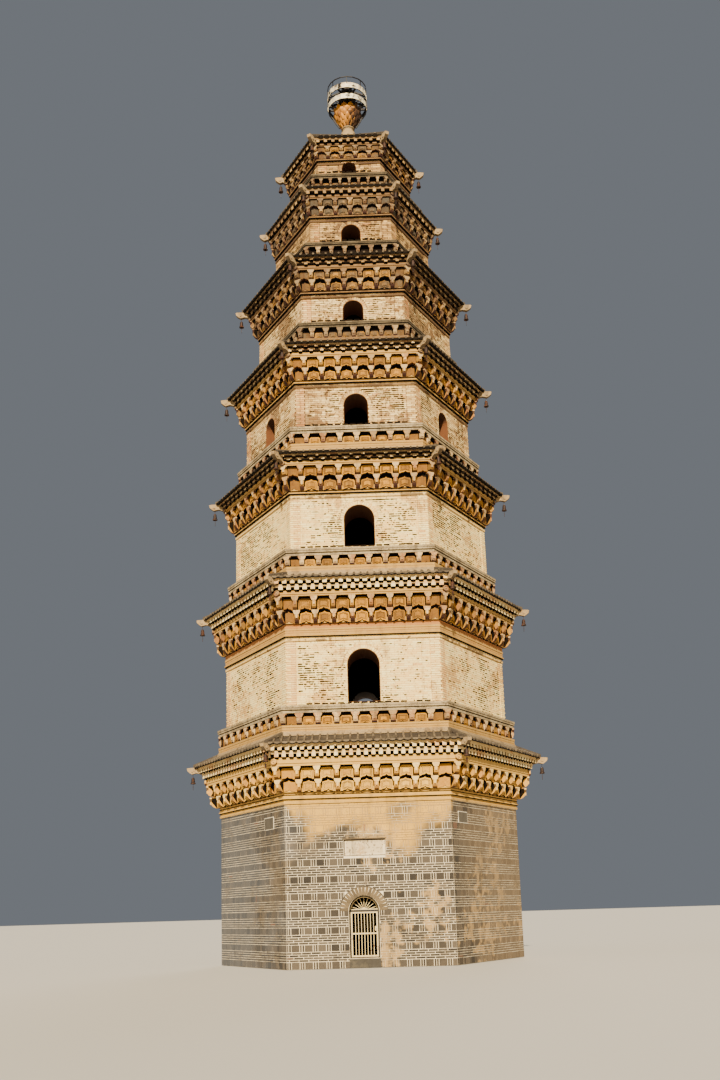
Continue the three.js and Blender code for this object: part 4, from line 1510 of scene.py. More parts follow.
def nose_flank(reach: float, height: float, round_belly: bool) -> list[Point]:
    """The rear part of a nose's side in painted shade, which leaves a pale disc or half moon in front of it.

    Args:
        reach: How far the nose stands out.
        height: Its whole height.
        round_belly: Whether the pale part is a disc; otherwise it is a half moon.

    Returns:
        (reach, height) points, starting inside the wall at its foot.
    """
    if round_belly:
        edge = [(0.34, 0.07), (0.62, 0.115), (0.52, 0.22), (0.44, 0.38), (0.43, 0.55), (0.5, 0.72),
                (0.64, 0.84), (0.85, 0.92), (0.85, 0.97)]
    else:
        edge = [(0.2, 0.04), (0.36, 0.2), (0.6, 0.4), (0.84, 0.6), (0.88, 0.72), (0.88, 0.97)]
    front = [(out * reach, up * height) for out, up in edge]
    return [(-0.02, edge[0][1] * height), *front, (-0.02, 0.97 * height)]


def panel_outline(width: float, height: float, peaked: bool, plain: bool = False) -> list[Point]:
    """The outline of a carved panel between two noses.

    Args:
        width: Its width.
        height: Its height.
        peaked: Whether its top rises to an ogee peak; otherwise it is flat between round shoulders.
        plain: Whether the small curves are left out, for the thin plates on the panel's face.

    Returns:
        (across, height) points round the panel, from its lower left.
    """
    half = width / 2
    foot = [(-half, 0.0), (-0.8 * half, 0.0), (-0.62 * half, 0.07 * height), (-0.3 * half, 0.09 * height),
            (-0.13 * half, 0.13 * height), (0.0, 0.22 * height), (0.13 * half, 0.13 * height),
            (0.3 * half, 0.09 * height), (0.62 * half, 0.07 * height), (0.8 * half, 0.0), (half, 0.0)]
    right = [(half, 0.6 * height), (0.96 * half, 0.72 * height), (0.84 * half, 0.8 * height)]
    if plain:
        foot = [foot[0], foot[2], foot[5], foot[8], foot[-1]]
        right = [(half, 0.66 * height), right[-1]]
    shoulder = [(0.5 * half, 0.83 * height)] if peaked else [(0.66 * half, 0.85 * height)]
    right += [] if plain else shoulder
    right += [(0.2 * half, 0.87 * height)] if peaked else []
    crown = [(0.0, 0.96 * height)] if peaked else []
    return foot + right + crown + [(-x, z) for x, z in reversed(right)]


@dataclass
class BracketRow:
    """A row of noses with carved panels between them, on every face and every corner."""

    name: str
    core: float
    front: float
    foot: float
    height: float
    noses: int
    nose_width: float
    peaked: bool
    workshop: Workshop
    look: StoreyFinishes
    seed: int
    end_space: float = 0.8
    rise: float = 1.0
    sunk: float = 0.5
    body: Mineral | None = None

    def build(self) -> dict[Mineral, list[Part]]:
        """Builds the row.

        Returns:
            The objects of the row by finish.
        """
        clay, pale = self.look.clay, self.look.nose
        pitch = self.front / (self.noses + self.end_space)
        reach = (self.front - self.core) * APOTHEM
        corner_reach = self.front - self.core
        cap = min(0.085, 0.24 * self.height)
        width = self.nose_width
        body, corner = (
            prism(name, nose_profile(out, self.height, cap, not self.peaked), -width / 2, width / 2, "x")
            for name, out in (("nose", reach), ("corner_nose", corner_reach)))
        cap_block = prism("nose_cap", [
            (-0.51 * width, self.height - 1.5 * cap), (0.51 * width, self.height - 1.5 * cap),
            (0.82 * width, self.height - 0.5 * cap), (0.82 * width, self.height - 0.002),
            (-0.82 * width, self.height - 0.002), (-0.82 * width, self.height - 0.5 * cap),
        ], -0.014, 0.05)
        keel = prism("nose_keel", [
            (-0.18 * width, 0.36 * self.height), (0.18 * width, 0.36 * self.height),
            (0.3 * width, self.height - cap), (-0.3 * width, self.height - cap)], -0.011, 0.03)
        panel_width = pitch - width - 0.06
        outline = panel_outline(panel_width, self.height * self.rise, self.peaked)
        plain = panel_outline(panel_width, self.height * self.rise, self.peaked, True)
        face = -self.sunk * reach
        panel = prism("panel", outline, face, 0.02)
        tall = self.height * self.rise
        # Near-black plates of painted shade: a shadow under the panel's cusped outline and thin shaded lines
        # round its relief.
        plates = [
            prism("panel_shade", [(x, z - 0.028) for x, z in outline], face + 0.012, 0.015),
            prism("panel_line", [(x * 0.79, z * 0.7 + 0.135 * tall) for x, z in plain], face - 0.003, 0.01),
            prism("panel_inner_line", [(x * 0.6, z * 0.52 + 0.215 * tall) for x, z in plain], face - 0.017,
                  0.005),
        ]
        relief = prism("panel_relief", [(x * 0.74, z * 0.64 + 0.15 * tall) for x, z in plain],
                       face - 0.014, 0.012)
        inner = prism("panel_middle", [(x * 0.54, z * 0.46 + 0.24 * tall) for x, z in plain],
                      face - 0.024, 0.008)
        flank_shades = [prism("nose_flank", nose_flank(far, self.height, not self.peaked), -width / 2 - 0.004,
                        width / 2 + 0.004, "x") for far in (reach, corner_reach)]
        trunk = self.body or pale
        made: dict[Mineral, list[Part]] = {clay: [], pale: [], SHADE: [], trunk: []}

        def lay(piece: Part, finish: Mineral, columns: int, out: float, seed: int = self.seed,
                turn: float = 0.0) -> None:
            """Lays a piece of the row on every face, or on every corner."""
            made[finish].append(self.workshop.row("row", piece, finish, columns, pitch, out, self.foot,
                                                  Margin=-9.0, Seed=seed, Turn=turn))

        def lay_noses(piece: Part, corner_piece: Part, finish: Mineral, radius: float) -> None:
            """Lays a piece of the noses, on every face and on every corner."""
            lay(piece, finish, self.noses, radius * APOTHEM)
            lay(corner_piece, finish, 1, radius, turn=CORNER_TURN)

        lay_noses(body, corner, trunk, self.core)
        for number, piece in enumerate((panel, relief, inner)):
            lay(piece, clay, self.noses - 1, self.core * APOTHEM, self.seed + 3 * number)
        lay_noses(*flank_shades, SHADE, self.core)
        for number, piece in enumerate(plates):
            lay(piece, SHADE, self.noses - 1, self.core * APOTHEM, self.seed + number)
        made[clay] += [self.end_panel(sign, pitch, reach, width) for sign in (-1, 1)]
        for piece in (cap_block, keel):
            lay_noses(piece, piece, pale, self.front)
        discard((body, corner, cap_block, keel, panel, relief, inner, *plates, *flank_shades))
        return made

    def end_panel(self, sign: int, pitch: float, reach: float, width: float) -> Part:
        """Makes the half panel between the last nose and the corner's nose.

        Args:
            sign: -1 for the left end of a face, 1 for the right.
            pitch: The spacing of the noses.
            reach: How far the noses stand out.
            width: The width of a nose.

        Returns:
            The panels on all six faces.
        """
        start = (self.noses - 1) / 2 * pitch + width / 2 + 0.01
        end = (self.core * APOTHEM + 0.5 * reach) * HALF_WIDTH - width * 0.35
        middle = sign * (start + end) / 2
        outline = panel_outline(max(end - start, 0.06), self.height * self.rise, self.peaked)
        core = self.core * APOTHEM
        placed = [(x + middle, z + self.foot) for x, z in outline]
        return six_times(prism("end_panel", placed, -core - self.sunk * reach, -core + 0.02))


@dataclass
class Cornice:
    """The eave's underside: ledge, brackets, beam and rafter ends."""

    storey: Storey
    workshop: Workshop

    def build(self) -> None:
        """Builds the cornice and replaces its CAD node."""
        storey, tiers = self.storey, self.storey.tiers
        name = f"storey_{storey.number}"
        tier_foot = storey.ledge + tiers.plain
        beam_foot = tier_foot + tiers.lower + tiers.upper
        rafter_foot = beam_foot + tiers.beam
        look = LOOKS[storey.number]
        core = dress(hexagonal(f"{name}_cornice_core", self.profile(tier_foot, beam_foot, rafter_foot)),
                     DARK_CORE, replaces=[f"{name}_cornice"])
        smooth(core, 20)
        lower = BracketRow(name, storey.out(LOWER_CORE), storey.out(LOWER_FRONT), tier_foot,
                           tiers.lower - 0.012, tiers.noses, NOSE_WIDTH, True, self.workshop, look,
                           storey.number, tiers.end_space, 1.02 if storey.low else 0.9, 0.25,
                           look.body if storey.number == 1 else look.shade_footed)
        upper = BracketRow(name, storey.out(UPPER_CORE), storey.out(UPPER_FRONT),
                           tier_foot + tiers.lower, tiers.upper, tiers.noses, NOSE_WIDTH, False,
                           self.workshop, look, storey.number + 20, tiers.end_space,
                           1.06 if storey.low else 1.12, 0.42 if storey.low else 0.55, look.body)
        low, high, ends = lower.build(), upper.build(), self.rafters(rafter_foot)
        pieces = (
            ("carved_panels", look.clay, low[look.clay] + high[look.clay]),
            ("bracket_fronts", look.nose, low[look.nose] + high[look.nose] + [self.corner_bosses(beam_foot)]),
            ("lower_bracket_bodies", lower.body, low[lower.body]),
            ("upper_bracket_bodies", upper.body, high[upper.body]),
            ("beam_courses", look.course, self.beam(beam_foot) + self.ledge_courses(tier_foot)
             + [self.apron(tier_foot, tiers.lower)]),
            ("header_ends", look.header, ends[look.header]),
            ("open_shades", SHADE, low[SHADE] + high[SHADE] + ends[SHADE] + self.ledge_shades(tier_foot)),
        )
        for label, finish, parts in pieces:
            dress(join(f"{name}_{label}", parts), finish)
        LOG.info("%s cornice", name)

    def profile(self, tier_foot: float, beam_foot: float, rafter_foot: float) -> list[Point]:
        """The core's closed outline from the wall's face outwards."""
        storey = self.storey
        inner = storey.wall + SEAT
        top = storey.under - SEAT
        bottom = storey.ledge - LEDGE_HEIGHT
        return [
            (inner, bottom), (storey.wall + 0.02, bottom),
            (storey.wall + 0.02, tier_foot), (storey.out(LOWER_CORE), tier_foot),
            (storey.out(LOWER_CORE), beam_foot), (storey.out(BEAM_CORE), beam_foot),
            (storey.out(BEAM_CORE), rafter_foot), (storey.out(EAVE_CORE), rafter_foot),
            (storey.out(EAVE_CORE), top - 0.02), (storey.out(EAVE_FRONT), top - 0.02),
            (storey.out(EAVE_FRONT), top), (inner, top),
        ]

    def apron(self, tier_foot: float, height: float) -> Part:
        """Builds the pale course behind the cusped feet of the lower panels."""
        storey = self.storey
        outer = storey.out(LOWER_CORE) + 0.14 * (storey.out(LOWER_FRONT) - storey.out(LOWER_CORE))
        return hoop("apron", storey.out(0.1), outer, tier_foot + 0.002, tier_foot + 0.3 * height)

    def ledge_shades(self, tier_foot: float) -> list[Part]:
        """Builds the dark lines under the ledge and in the middle of the plain courses over it."""
        storey = self.storey
        bottom = storey.ledge - LEDGE_HEIGHT
        lines = [(bottom - 0.002, bottom + 0.023, storey.wall + LEDGE_PROUD - 0.012)]
        if tier_foot - storey.ledge > 0.12:
            middle = (storey.ledge + tier_foot) / 2
            lines.append((middle - 0.012, middle + 0.012, storey.out(PLAIN_OUT) + 0.012))
        return [hoop("line", storey.wall + 0.012, out, low, high) for low, high, out in lines]

    def ledge_courses(self, tier_foot: float) -> list[Part]:
        """Builds the ledge of two thin courses and the plain courses over it."""
        storey = self.storey
        bottom = storey.ledge - LEDGE_HEIGHT
        wall = storey.wall
        bands = ((-0.119, -0.094, 0.05), (-0.09, -0.062, 0.056),
                 (-0.058, -0.032, 0.03), (-0.028, -0.003, 0.034))
        made = [hoop("band", wall + 0.01, wall + out, bottom + low, bottom + high)
                for low, high, out in bands if storey.number == 1]
        made.append(hoop("ledge", wall + 0.018, wall + LEDGE_PROUD, bottom + 0.026, storey.ledge))
        count = max(1, round((tier_foot - storey.ledge) / 0.068))
        step = (tier_foot - storey.ledge) / count
        for number in range(count):
            low = storey.ledge + number * step + 0.005
            outer = storey.out(PLAIN_OUT) + (0.02 if number == count // 2 and count > 2 else 0.004)
            course = hoop("course", wall + 0.018, outer, low, low + step - 0.007)
            stain = course.data.attributes.new("stain", "FLOAT", "POINT")
            amount = (0.0, 0.08, 0.0, 0.35, 0.5)[number % 5]
            stain.data.foreach_set("value", [amount] * len(course.data.vertices))
            made.append(course)
        return made

    def beam(self, foot: float) -> list[Part]:
        """Builds the beam's two bands with the groove between them."""
        storey = self.storey
        height = storey.tiers.beam
        inner = storey.out(0.44)
        split = foot + 0.26 * height
        outer = storey.out(BEAM_FRONT)
        return [hoop("beam_low", inner, outer - 0.018, foot + 0.004, split),
                hoop("beam_high", inner, outer, split + 0.014, foot + height - 0.006)]

    def rafters(self, foot: float) -> dict[Mineral, list[Part]]:
        """Lays the rows of round-bottomed header ends, each under a plain course, that carry the eave."""
        storey, tiers = self.storey, self.storey.tiers
        rows = tiers.rafter_rows
        top = storey.edge + 0.004
        step = (top - foot) / rows
        wide = storey.low
        tall = (0.5 if wide else 0.48) * step
        inner = storey.out(0.48)
        pitch = tiers.rafter_pitch
        half = 0.27 * pitch if wide else 0.05
        look = LOOKS[storey.number]
        made: dict[Mineral, list[Part]] = {look.header: [], SHADE: []}
        below = storey.out(BEAM_FRONT) * APOTHEM
        for number in range(rows):
            low = foot + number * step
            out = storey.out(BEAM_FRONT + HEADER_REACH * (number + 1) / rows) * APOTHEM
            # The header's body and the blob under it are near-black sheets of painted shade.
            shapes = (
                (look.header, out, prism("header", [
                    (-0.92 * half, 0.0), (0.92 * half, 0.0), (half, 0.08 * tall), (half, tall), (-half, tall),
                    (-half, 0.08 * tall)], 0.0, 0.018)),
                (SHADE, out, plate("header_body", -0.95 * half, 0.95 * half, 0.002, tall, 0.016,
                                   out - inner * APOTHEM)),
                (SHADE, below, prism("header_shade", [
                    (-1.22 * half, 0.004), (-1.15 * half, -0.03), (-0.9 * half, -0.04), (0.9 * half, -0.04),
                    (1.15 * half, -0.03), (1.22 * half, 0.004)], -0.004, 0.02)),
            )
            columns = int(out * 2 * HALF_WIDTH / pitch) // 2 * 2 + 1 + number % 2
            for finish, apothem, shape in shapes:
                made[finish].append(self.workshop.row("headers", shape, finish, columns, pitch, apothem, low,
                                                      Margin=half * 1.2, Seed=number + 5))
            discard(shape for _, _, shape in shapes)
            radius = out / APOTHEM - 0.008
            made[look.header].append(hoop("slab", inner, radius, low + tall + 0.001, low + step - 0.001))
            below = radius * APOTHEM
        return made

    def corner_bosses(self, beam_foot: float) -> Part:
        """Sets a round boss with a raised ring on the beam at every corner."""
        storey = self.storey
        radius = min(0.095, 0.42 * (storey.tiers.beam + 0.05))
        boss = turned("boss", [(0.0, 0.0), (radius, 0.0), (radius, 0.05), (0.72 * radius, 0.062),
                               (0.66 * radius, 0.045), (0.3 * radius, 0.045), (0.2 * radius, 0.066),
                               (0.0, 0.07)], 16)
        out = storey.out(BEAM_FRONT) - 0.02
        boss.data.transform(Matrix.Translation((0, -out, beam_foot + storey.tiers.beam / 2))
                            @ Matrix.Rotation(math.pi / 2, 4, "X"))
        return six_times(boss, CORNER_TURN)


@dataclass
class Balcony:
    """The bracketed balcony that carries one upper storey."""

    number: int
    workshop: Workshop

    def build(self) -> None:
        """Builds the balcony and replaces its CAD node."""
        name = f"storey_{self.number}"
        low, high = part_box(f"{name}_balcony")
        radius, bottom, top = high.x, low.z, high.z
        sizes = BALCONIES[self.number - 2]
        under = top - sizes.slab
        foot = under - sizes.bracket
        step = under + 0.42 * sizes.slab
        core = radius - 0.19
        base = radius - 0.035
        dress(hexagonal(f"{name}_balcony_core", [
            (0, bottom), (base - 0.02, bottom), (base - 0.02, foot), (core, foot), (core, under),
            (base - 0.04, under), (base - 0.04, top - 0.012), (0, top - 0.012),
        ]), DARK_CORE, replaces=[f"{name}_balcony"])
        look = LOOKS[self.number]
        clay = ORANGE_CLAY if look.clay is GOLDEN_CLAY else look.clay
        front = radius - BALCONY_SET_BACK
        built = BracketRow(name, core, front, foot, sizes.bracket, sizes.noses, sizes.width, False,
                           self.workshop, replace(look, clay=clay), self.number + 60,
                           rise=sizes.rise, sunk=0.4).build()
        apron = core + 0.14 * (front - core)
        dress(join(f"{name}_balcony_panels", built[clay]), clay)
        dress(join(f"{name}_balcony_bracket_fronts", built[look.nose]), look.nose)
        dress(join(f"{name}_balcony_panel_shades", built[SHADE]), SHADE)
        dress(join(f"{name}_balcony_slab", self.slab(radius, base, under, step, top)),
              SLAB_STONE if self.number < 5 else AGED_SLAB)
        courses = self.base_courses(base, bottom, foot)
        courses.append(hoop("apron", core - 0.02, apron, foot + 0.002, foot + 0.3 * sizes.bracket))
        dress(join(f"{name}_balcony_base", courses), look.course)
        dress(self.foot_dashes(), OPEN_JOINT_AND_SHADE)
        if self.number == 2:
            face = -base * APOTHEM
            dress(plate("storey_2_balcony_red_brick", 0.75, 0.88, 6.7, 6.765, face - 0.02, face + 0.05),
                  RED_BRICK)
        LOG.info("%s balcony", name)

    def slab(self, radius: float, base: float, under: float, step: float, top: float) -> list[Part]:
        """Lays the slab: a thin pale course, a dark joint, then two rough courses on a set-back core."""
        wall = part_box(f"storey_{self.number}_wall")[1].x - 0.4
        courses = ((under + 0.001, step - 0.024, base),
                   (step + 0.004, step + 0.45 * (top - step), radius - 0.012),
                   (step + 0.5 * (top - step), top, radius))
        return [hexagonal("slab_course", [(wall, low), (out, low), (out - 0.004, high), (wall, high)])
                for low, high, out in courses]

    def foot_dashes(self) -> Part:
        """Lays the dark open joints where the wall meets the slab."""
        name = f"storey_{self.number}"
        low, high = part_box(f"{name}_wall")
        face = (high.x - LOWER_LEDGE + 0.025) * APOTHEM + 0.006
        pitch = 0.23
        lift = (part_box(f"{name}_balcony")[1].x * APOTHEM - face) * (low.z - EYE) / SIGHT + 0.006
        dash = plate("dash", -0.09, 0.09, lift, lift + 0.045, 0.0, 0.02)
        columns = int(face * 2 * HALF_WIDTH / pitch)
        made = self.workshop.row(f"{name}_foot_joints", dash, OPEN_JOINT_AND_SHADE, columns, pitch, face, low.z,
                                 Margin=0.1, Seed=self.number, Jitter=0.004)
        discard([dash])
        return made

    def base_courses(self, base: float, bottom: float, foot: float) -> list[Part]:
        """Lays the plain courses between the roof below and the brackets."""
        courses = max(2, round((foot - bottom - 0.16) / 0.075))
        start = bottom + 0.14
        step = (foot - start) / courses
        made = []
        for number in range(courses):
            low = start + number * step
            outer = base + (0.004 if number % 2 else -0.006)
            made.append(hoop("course", base - 0.1, outer, low + 0.004, low + step - 0.006))
        return made


# Roofs


TILE_LENGTH = 0.27


@dataclass
class Roof:
    """One tiled eave with its hips, upturned corner beams and wind bells."""

    storey: Storey
    workshop: Workshop
    cover: float = 0.034

    def build(self) -> None:
        """Builds the roof and replaces its CAD node."""
        storey = self.storey
        name = f"storey_{storey.number}"
        top = storey.number == len(TIERS)
        dress(self.bed(top), TILE_BED if storey.low else SHADED_EDGE_TILE, replaces=[f"{name}_roof"])
        covers, edges, shades = self.tiles()
        for part, finish in ((covers, DARK_TILE), (edges, self.edge_finish), (shades, DRIP_SHADOW),
                             (self.hips(), DARK_TILE), (self.horns(), HORN_PLASTER),
                             (self.head_fillet(top), HORN_PLASTER), (self.bells(), BELL_IRON)):
            dress(part, finish)
        LOG.info("%s roof", name)

    def bed(self, top: bool) -> Part:
        """Builds the solid roof body under the tiles."""
        storey = self.storey
        lip = storey.edge + EAVE_OVER - 0.03
        name = f"storey_{storey.number}_roof_bed"
        soffit = storey.edge + 0.006
        root = storey.out(EAVE_CORE)
        if top:
            return hexagonal(name, [
                (0, storey.under + SEAT), (root, storey.under + SEAT), (root, soffit),
                (storey.eave - 0.06, soffit), (storey.eave - 0.03, lip),
                (storey.head, storey.tile_top - 0.05), (0, storey.tile_top - 0.05)])
        inner = storey.wall + SEAT
        return hexagonal(name, [
            (inner, storey.under), (root, storey.under), (root, soffit), (storey.eave - 0.06, soffit),
            (storey.eave - 0.03, lip), (storey.head + SEAT, storey.tile_top - 0.045),
            (storey.head + SEAT, storey.wall_top + SEAT), (inner, storey.wall_top + SEAT)])

    @property
    def edge_finish(self) -> Mineral:
        """The finish of the tiles' edge, near black from the third storey up: sooted and painted shade."""
        return DARK_TILE if self.storey.low else SHADED_EDGE_TILE

    @property
    def tile_pitch(self) -> float:
        """The spacing of the cover tiles."""
        return 0.217 if self.storey.number == 1 else 0.2

    def slope(self) -> tuple[float, float, float]:
        """Measures the tiled slope: its run, its rise and its angle."""
        storey = self.storey
        run = (storey.eave - storey.head) * APOTHEM
        rise = storey.tile_top - storey.edge - EAVE_OVER
        return run, rise, math.atan2(rise, run)

    def tiles(self) -> tuple[Part, Part, Part]:
        """Lays the round cover tiles, the discs and drip tiles at their ends, and the shadow under them."""
        storey = self.storey
        run, rise, angle = self.slope()
        length = math.hypot(run, rise)
        rows = max(2, round(length / TILE_LENGTH))
        radius, pitch = self.cover, self.tile_pitch
        eave = storey.eave * APOTHEM
        base = storey.edge + EAVE_OVER - 0.012
        columns = int(eave * 2 * HALF_WIDTH / pitch) // 2 * 2 + 1
        half = (pitch - 0.02) / 2
        scallop = [(half * math.cos(math.pi + math.pi * i / 8),
                    0.016 + 0.062 * math.sin(math.pi + math.pi * i / 8)) for i in range(9)]
        barrel = self.barrel(length / rows + 0.03, radius)
        disc = turned("disc", [(0.0, 0.0), (radius, 0.0), (radius, 0.02), (0.8 * radius, 0.024),
                               (0.74 * radius, 0.018), (0.0, 0.018)], 12)
        disc.data.transform(Matrix.Translation((0, 0.02, 0.012)) @ Matrix.Rotation(math.pi / 2, 4, "X"))
        drip = prism("drip", scallop, -0.006, 0.012)
        shade = prism("drip_shade", [(x * 1.06, z - 0.03) for x, z in scallop], 0.0, 0.012)
        slope = {"Rows": rows, "Row_Step": rise / rows, "Row_Drift": -run / rows, "Tilt": angle}
        covers, discs, drips, shades = (
            self.workshop.row("tiles", shape, finish, count, pitch, eave - inset, base, Margin=margin, **more)
            for shape, finish, count, inset, margin, more in (
                (barrel, DARK_TILE, columns, 0.01, 0.05, {"Seed": storey.number, "Jitter": 0.003, **slope}),
                (disc, DARK_TILE, columns, 0.008, 0.05, {"Seed": storey.number, "Jitter": 0.003}),
                (drip, self.edge_finish, columns - 1, 0.016, 0.06, {"Seed": storey.number + 9}),
                (shade, DRIP_SHADOW, columns - 1, 0.016, 0.06, {})))
        discard((barrel, disc, drip, shade))
        name = f"storey_{storey.number}"
        return (smooth(join(f"{name}_roof_tiles", [covers, discs])), join(f"{name}_tile_edge", [drips]),
                join(f"{name}_tile_edge_shade", [shades]))

    def barrel(self, length: float, radius: float) -> Part:
        """Makes one half-round cover tile that runs inwards from the origin."""
        sides = 6
        points = []
        for place, size in ((0.0, radius), (length, 0.88 * radius)):
            points += [(size * math.cos(math.pi * i / sides), place, size * math.sin(math.pi * i / sides))
                       for i in range(sides + 1)]
        count = sides + 1
        faces = [[i, i + 1, i + 1 + count, i + count] for i in range(sides)]
        faces += [[sides, 0, count, sides + count], list(range(count)),
                  list(range(2 * count - 1, count - 1, -1))]
        return solid("barrel", points, faces)

    def hips(self) -> Part:
        """Builds the round-topped ridge on every hip."""
        storey = self.storey
        half, rise, steps = 0.06, 0.09, 6
        section = [(-half, -0.04)] + [(-half * math.cos(math.pi * i / steps),
                                       0.03 + (rise - 0.03) * math.sin(math.pi * i / steps))
                                      for i in range(steps + 1)] + [(half, -0.04)]
        start = (storey.eave - 0.02, storey.edge + EAVE_OVER - 0.02)
        end = (storey.head + 0.004, storey.tile_top - 0.01)
        points = [(radius, across, base + up) for radius, base in (start, end) for across, up in section]
        count = len(section)
        faces = [[i, (i + 1) % count, (i + 1) % count + count, i + count] for i in range(count)]
        faces += [list(range(count)), list(range(2 * count - 1, count - 1, -1))]
        return smooth(six_times(solid(f"storey_{storey.number}_hips", points, faces)))

    def horns(self) -> Part:
        """Builds the pale corner beams, which wave out from under the eave and turn up at their tips."""
        storey = self.storey
        eave, edge = storey.eave, storey.edge
        root = max(eave - HORN_ROOT, storey.out(EAVE_CORE))
        tip = eave + HORN_REACH
        outline = [
            (root, edge - 0.215), (root + 0.08, edge - 0.18), ((root + eave) / 2 + 0.02, edge - 0.165),
            (eave - 0.04, edge - 0.185), (eave + 0.03, edge - 0.2), (eave + 0.09, edge - 0.165),
            (tip - 0.02, edge - 0.095), (tip - 0.002, edge - 0.01), (tip - 0.05, edge + 0.004),
            (eave - 0.02, edge + 0.012), (root, edge - 0.05),
        ]
        beams = prism("beam", [(-x, z) for x, z in outline], -0.062, 0.062, "x")
        beams.data.transform(Matrix.Rotation(math.pi, 4, "Z"))
        plates = []
        for side in (-1, 1):
            profile = [(0.0, 0.0), (0.045, 0.0), (0.045, 0.012), (0.03, 0.02), (0.0, 0.02)]
            scroll = turned("scroll", profile, 10)
            scroll.data.transform(
                Matrix.Translation((side * 0.06, -(eave + 0.02), edge - 0.1))
                @ Matrix.Rotation(side * math.pi / 2, 4, "Y"))
            plates.append(scroll)
        made = six_times(join("beam", [beams, *plates]), CORNER_TURN)
        made.name = f"storey_{storey.number}_corner_beams"
        return made

    def head_fillet(self, top: bool) -> Part:
        """Builds the pale mortar fillet where the tiles meet the base above."""
        storey = self.storey
        head, level = storey.head, storey.tile_top
        name = f"storey_{storey.number}_roof_fillet"
        if top:
            return hexagonal(name, [(head - 0.03, level - 0.06), (head + 0.07, level - 0.06),
                                    (head + 0.05, level - 0.003), (head - 0.03, level - 0.003)])
        return hexagonal(name, [
            (head + SEAT, level - 0.06), (head + 0.075, level - 0.055), (head + 0.07, level + 0.02),
            (head + 0.045, level + 0.035), (head + 0.04, level + 0.07), (head + SEAT, level + 0.08)])

    def bells(self) -> Part:
        """Hangs a wind bell with its clapper plate under every corner beam."""
        storey = self.storey
        out = storey.eave
        top = storey.edge - 0.3
        height = 0.215
        bell = turned("bell", [
            (0.0, top - 0.6 * height), (0.052, top - 0.98 * height), (0.078, top - 1.01 * height),
            (0.083, top - height), (0.081, top - 0.86 * height), (0.06, top - 0.76 * height),
            (0.055, top - 0.3 * height), (0.04, top - 0.06 * height), (0.016, top), (0.0, top),
        ], 10)
        rod = drum("rod", 0.006, top - 0.01, storey.edge - 0.19, 5)
        cord = drum("cord", 0.004, top - height - 0.05, top - 0.5 * height, 5)
        low = top - height - 0.2
        sail = prism("sail", [(-0.012, low + 0.165), (-0.036, low + 0.11), (-0.02, low + 0.05),
                                (-0.038, low), (0.0, low + 0.02), (0.038, low), (0.02, low + 0.05),
                                (0.036, low + 0.11), (0.012, low + 0.165)], -0.003, 0.003)
        hung = join("hung", [bell, rod, cord, sail])
        hung.data.transform(Matrix.Translation((0, -out, 0)))
        made = six_times(hung, CORNER_TURN)
        made.name = f"storey_{storey.number}_wind_bells"
        return smooth(made)


# Doorway, floor and finial


@dataclass
class Doorway:
    """The steel gate in the ground doorway, with its hinges and latch."""

    workshop: Workshop

    def build(self) -> None:
        """Dresses the gate's nodes and adds its small fittings."""
        repaint("door_frame", FRAME_SHADE)
        for node in ("fanlight_grille", "door_leaf"):
            repaint(node, STEEL_PAINT)
        for node in ("ground_floor", "door_threshold"):
            repaint(node, GREY_STONE)
        leaf_low, leaf_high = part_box("door_leaf")
        front = leaf_low.y
        latch = plate("door_latch_case", leaf_high.x - 0.085, leaf_high.x - 0.012, 1.02, 1.14, front - 0.014,
                      front + 0.004)
        handle = turned("handle", [(0.0, 0.0), (0.016, 0.0), (0.016, 0.03), (0.011, 0.036), (0.0, 0.036)], 12)
        handle.data.transform(Matrix.Translation((leaf_high.x - 0.048, front - 0.012, 1.08))
                              @ Matrix.Rotation(math.pi / 2, 4, "X"))
        dress(join("door_latch", [latch, handle]), STEEL_PAINT, Body.LEAF)
        knuckles = []
        for level in (0.45, 1.38):
            knuckle = drum("knuckle", 0.009, level, level + 0.09, 10)
            knuckle.data.transform(Matrix.Translation((leaf_low.x + 0.004, front - 0.008, 0)))
            knuckles.append(knuckle)
        dress(join("door_hinge_knuckles", knuckles), STEEL_PAINT, Body.LEAF)
        door = replace(DOOR, width=DOOR.width - 2 * SEAT, crown=DOOR.crown - SEAT)
        frame_low, frame_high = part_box("door_frame")
        back = dress(reveal("doorway_lining", door, 0, -frame_high.y - 0.01, 2.66), REVEAL)
        face = dress(reveal("doorway_front_lining", door, 0, 4.12, -frame_low.y + 0.004), GREY_MORTAR)
        LOG.info("doorway: %s, %s", back.name, face.name)


HUB_TOPS = (30.255, 29.87)


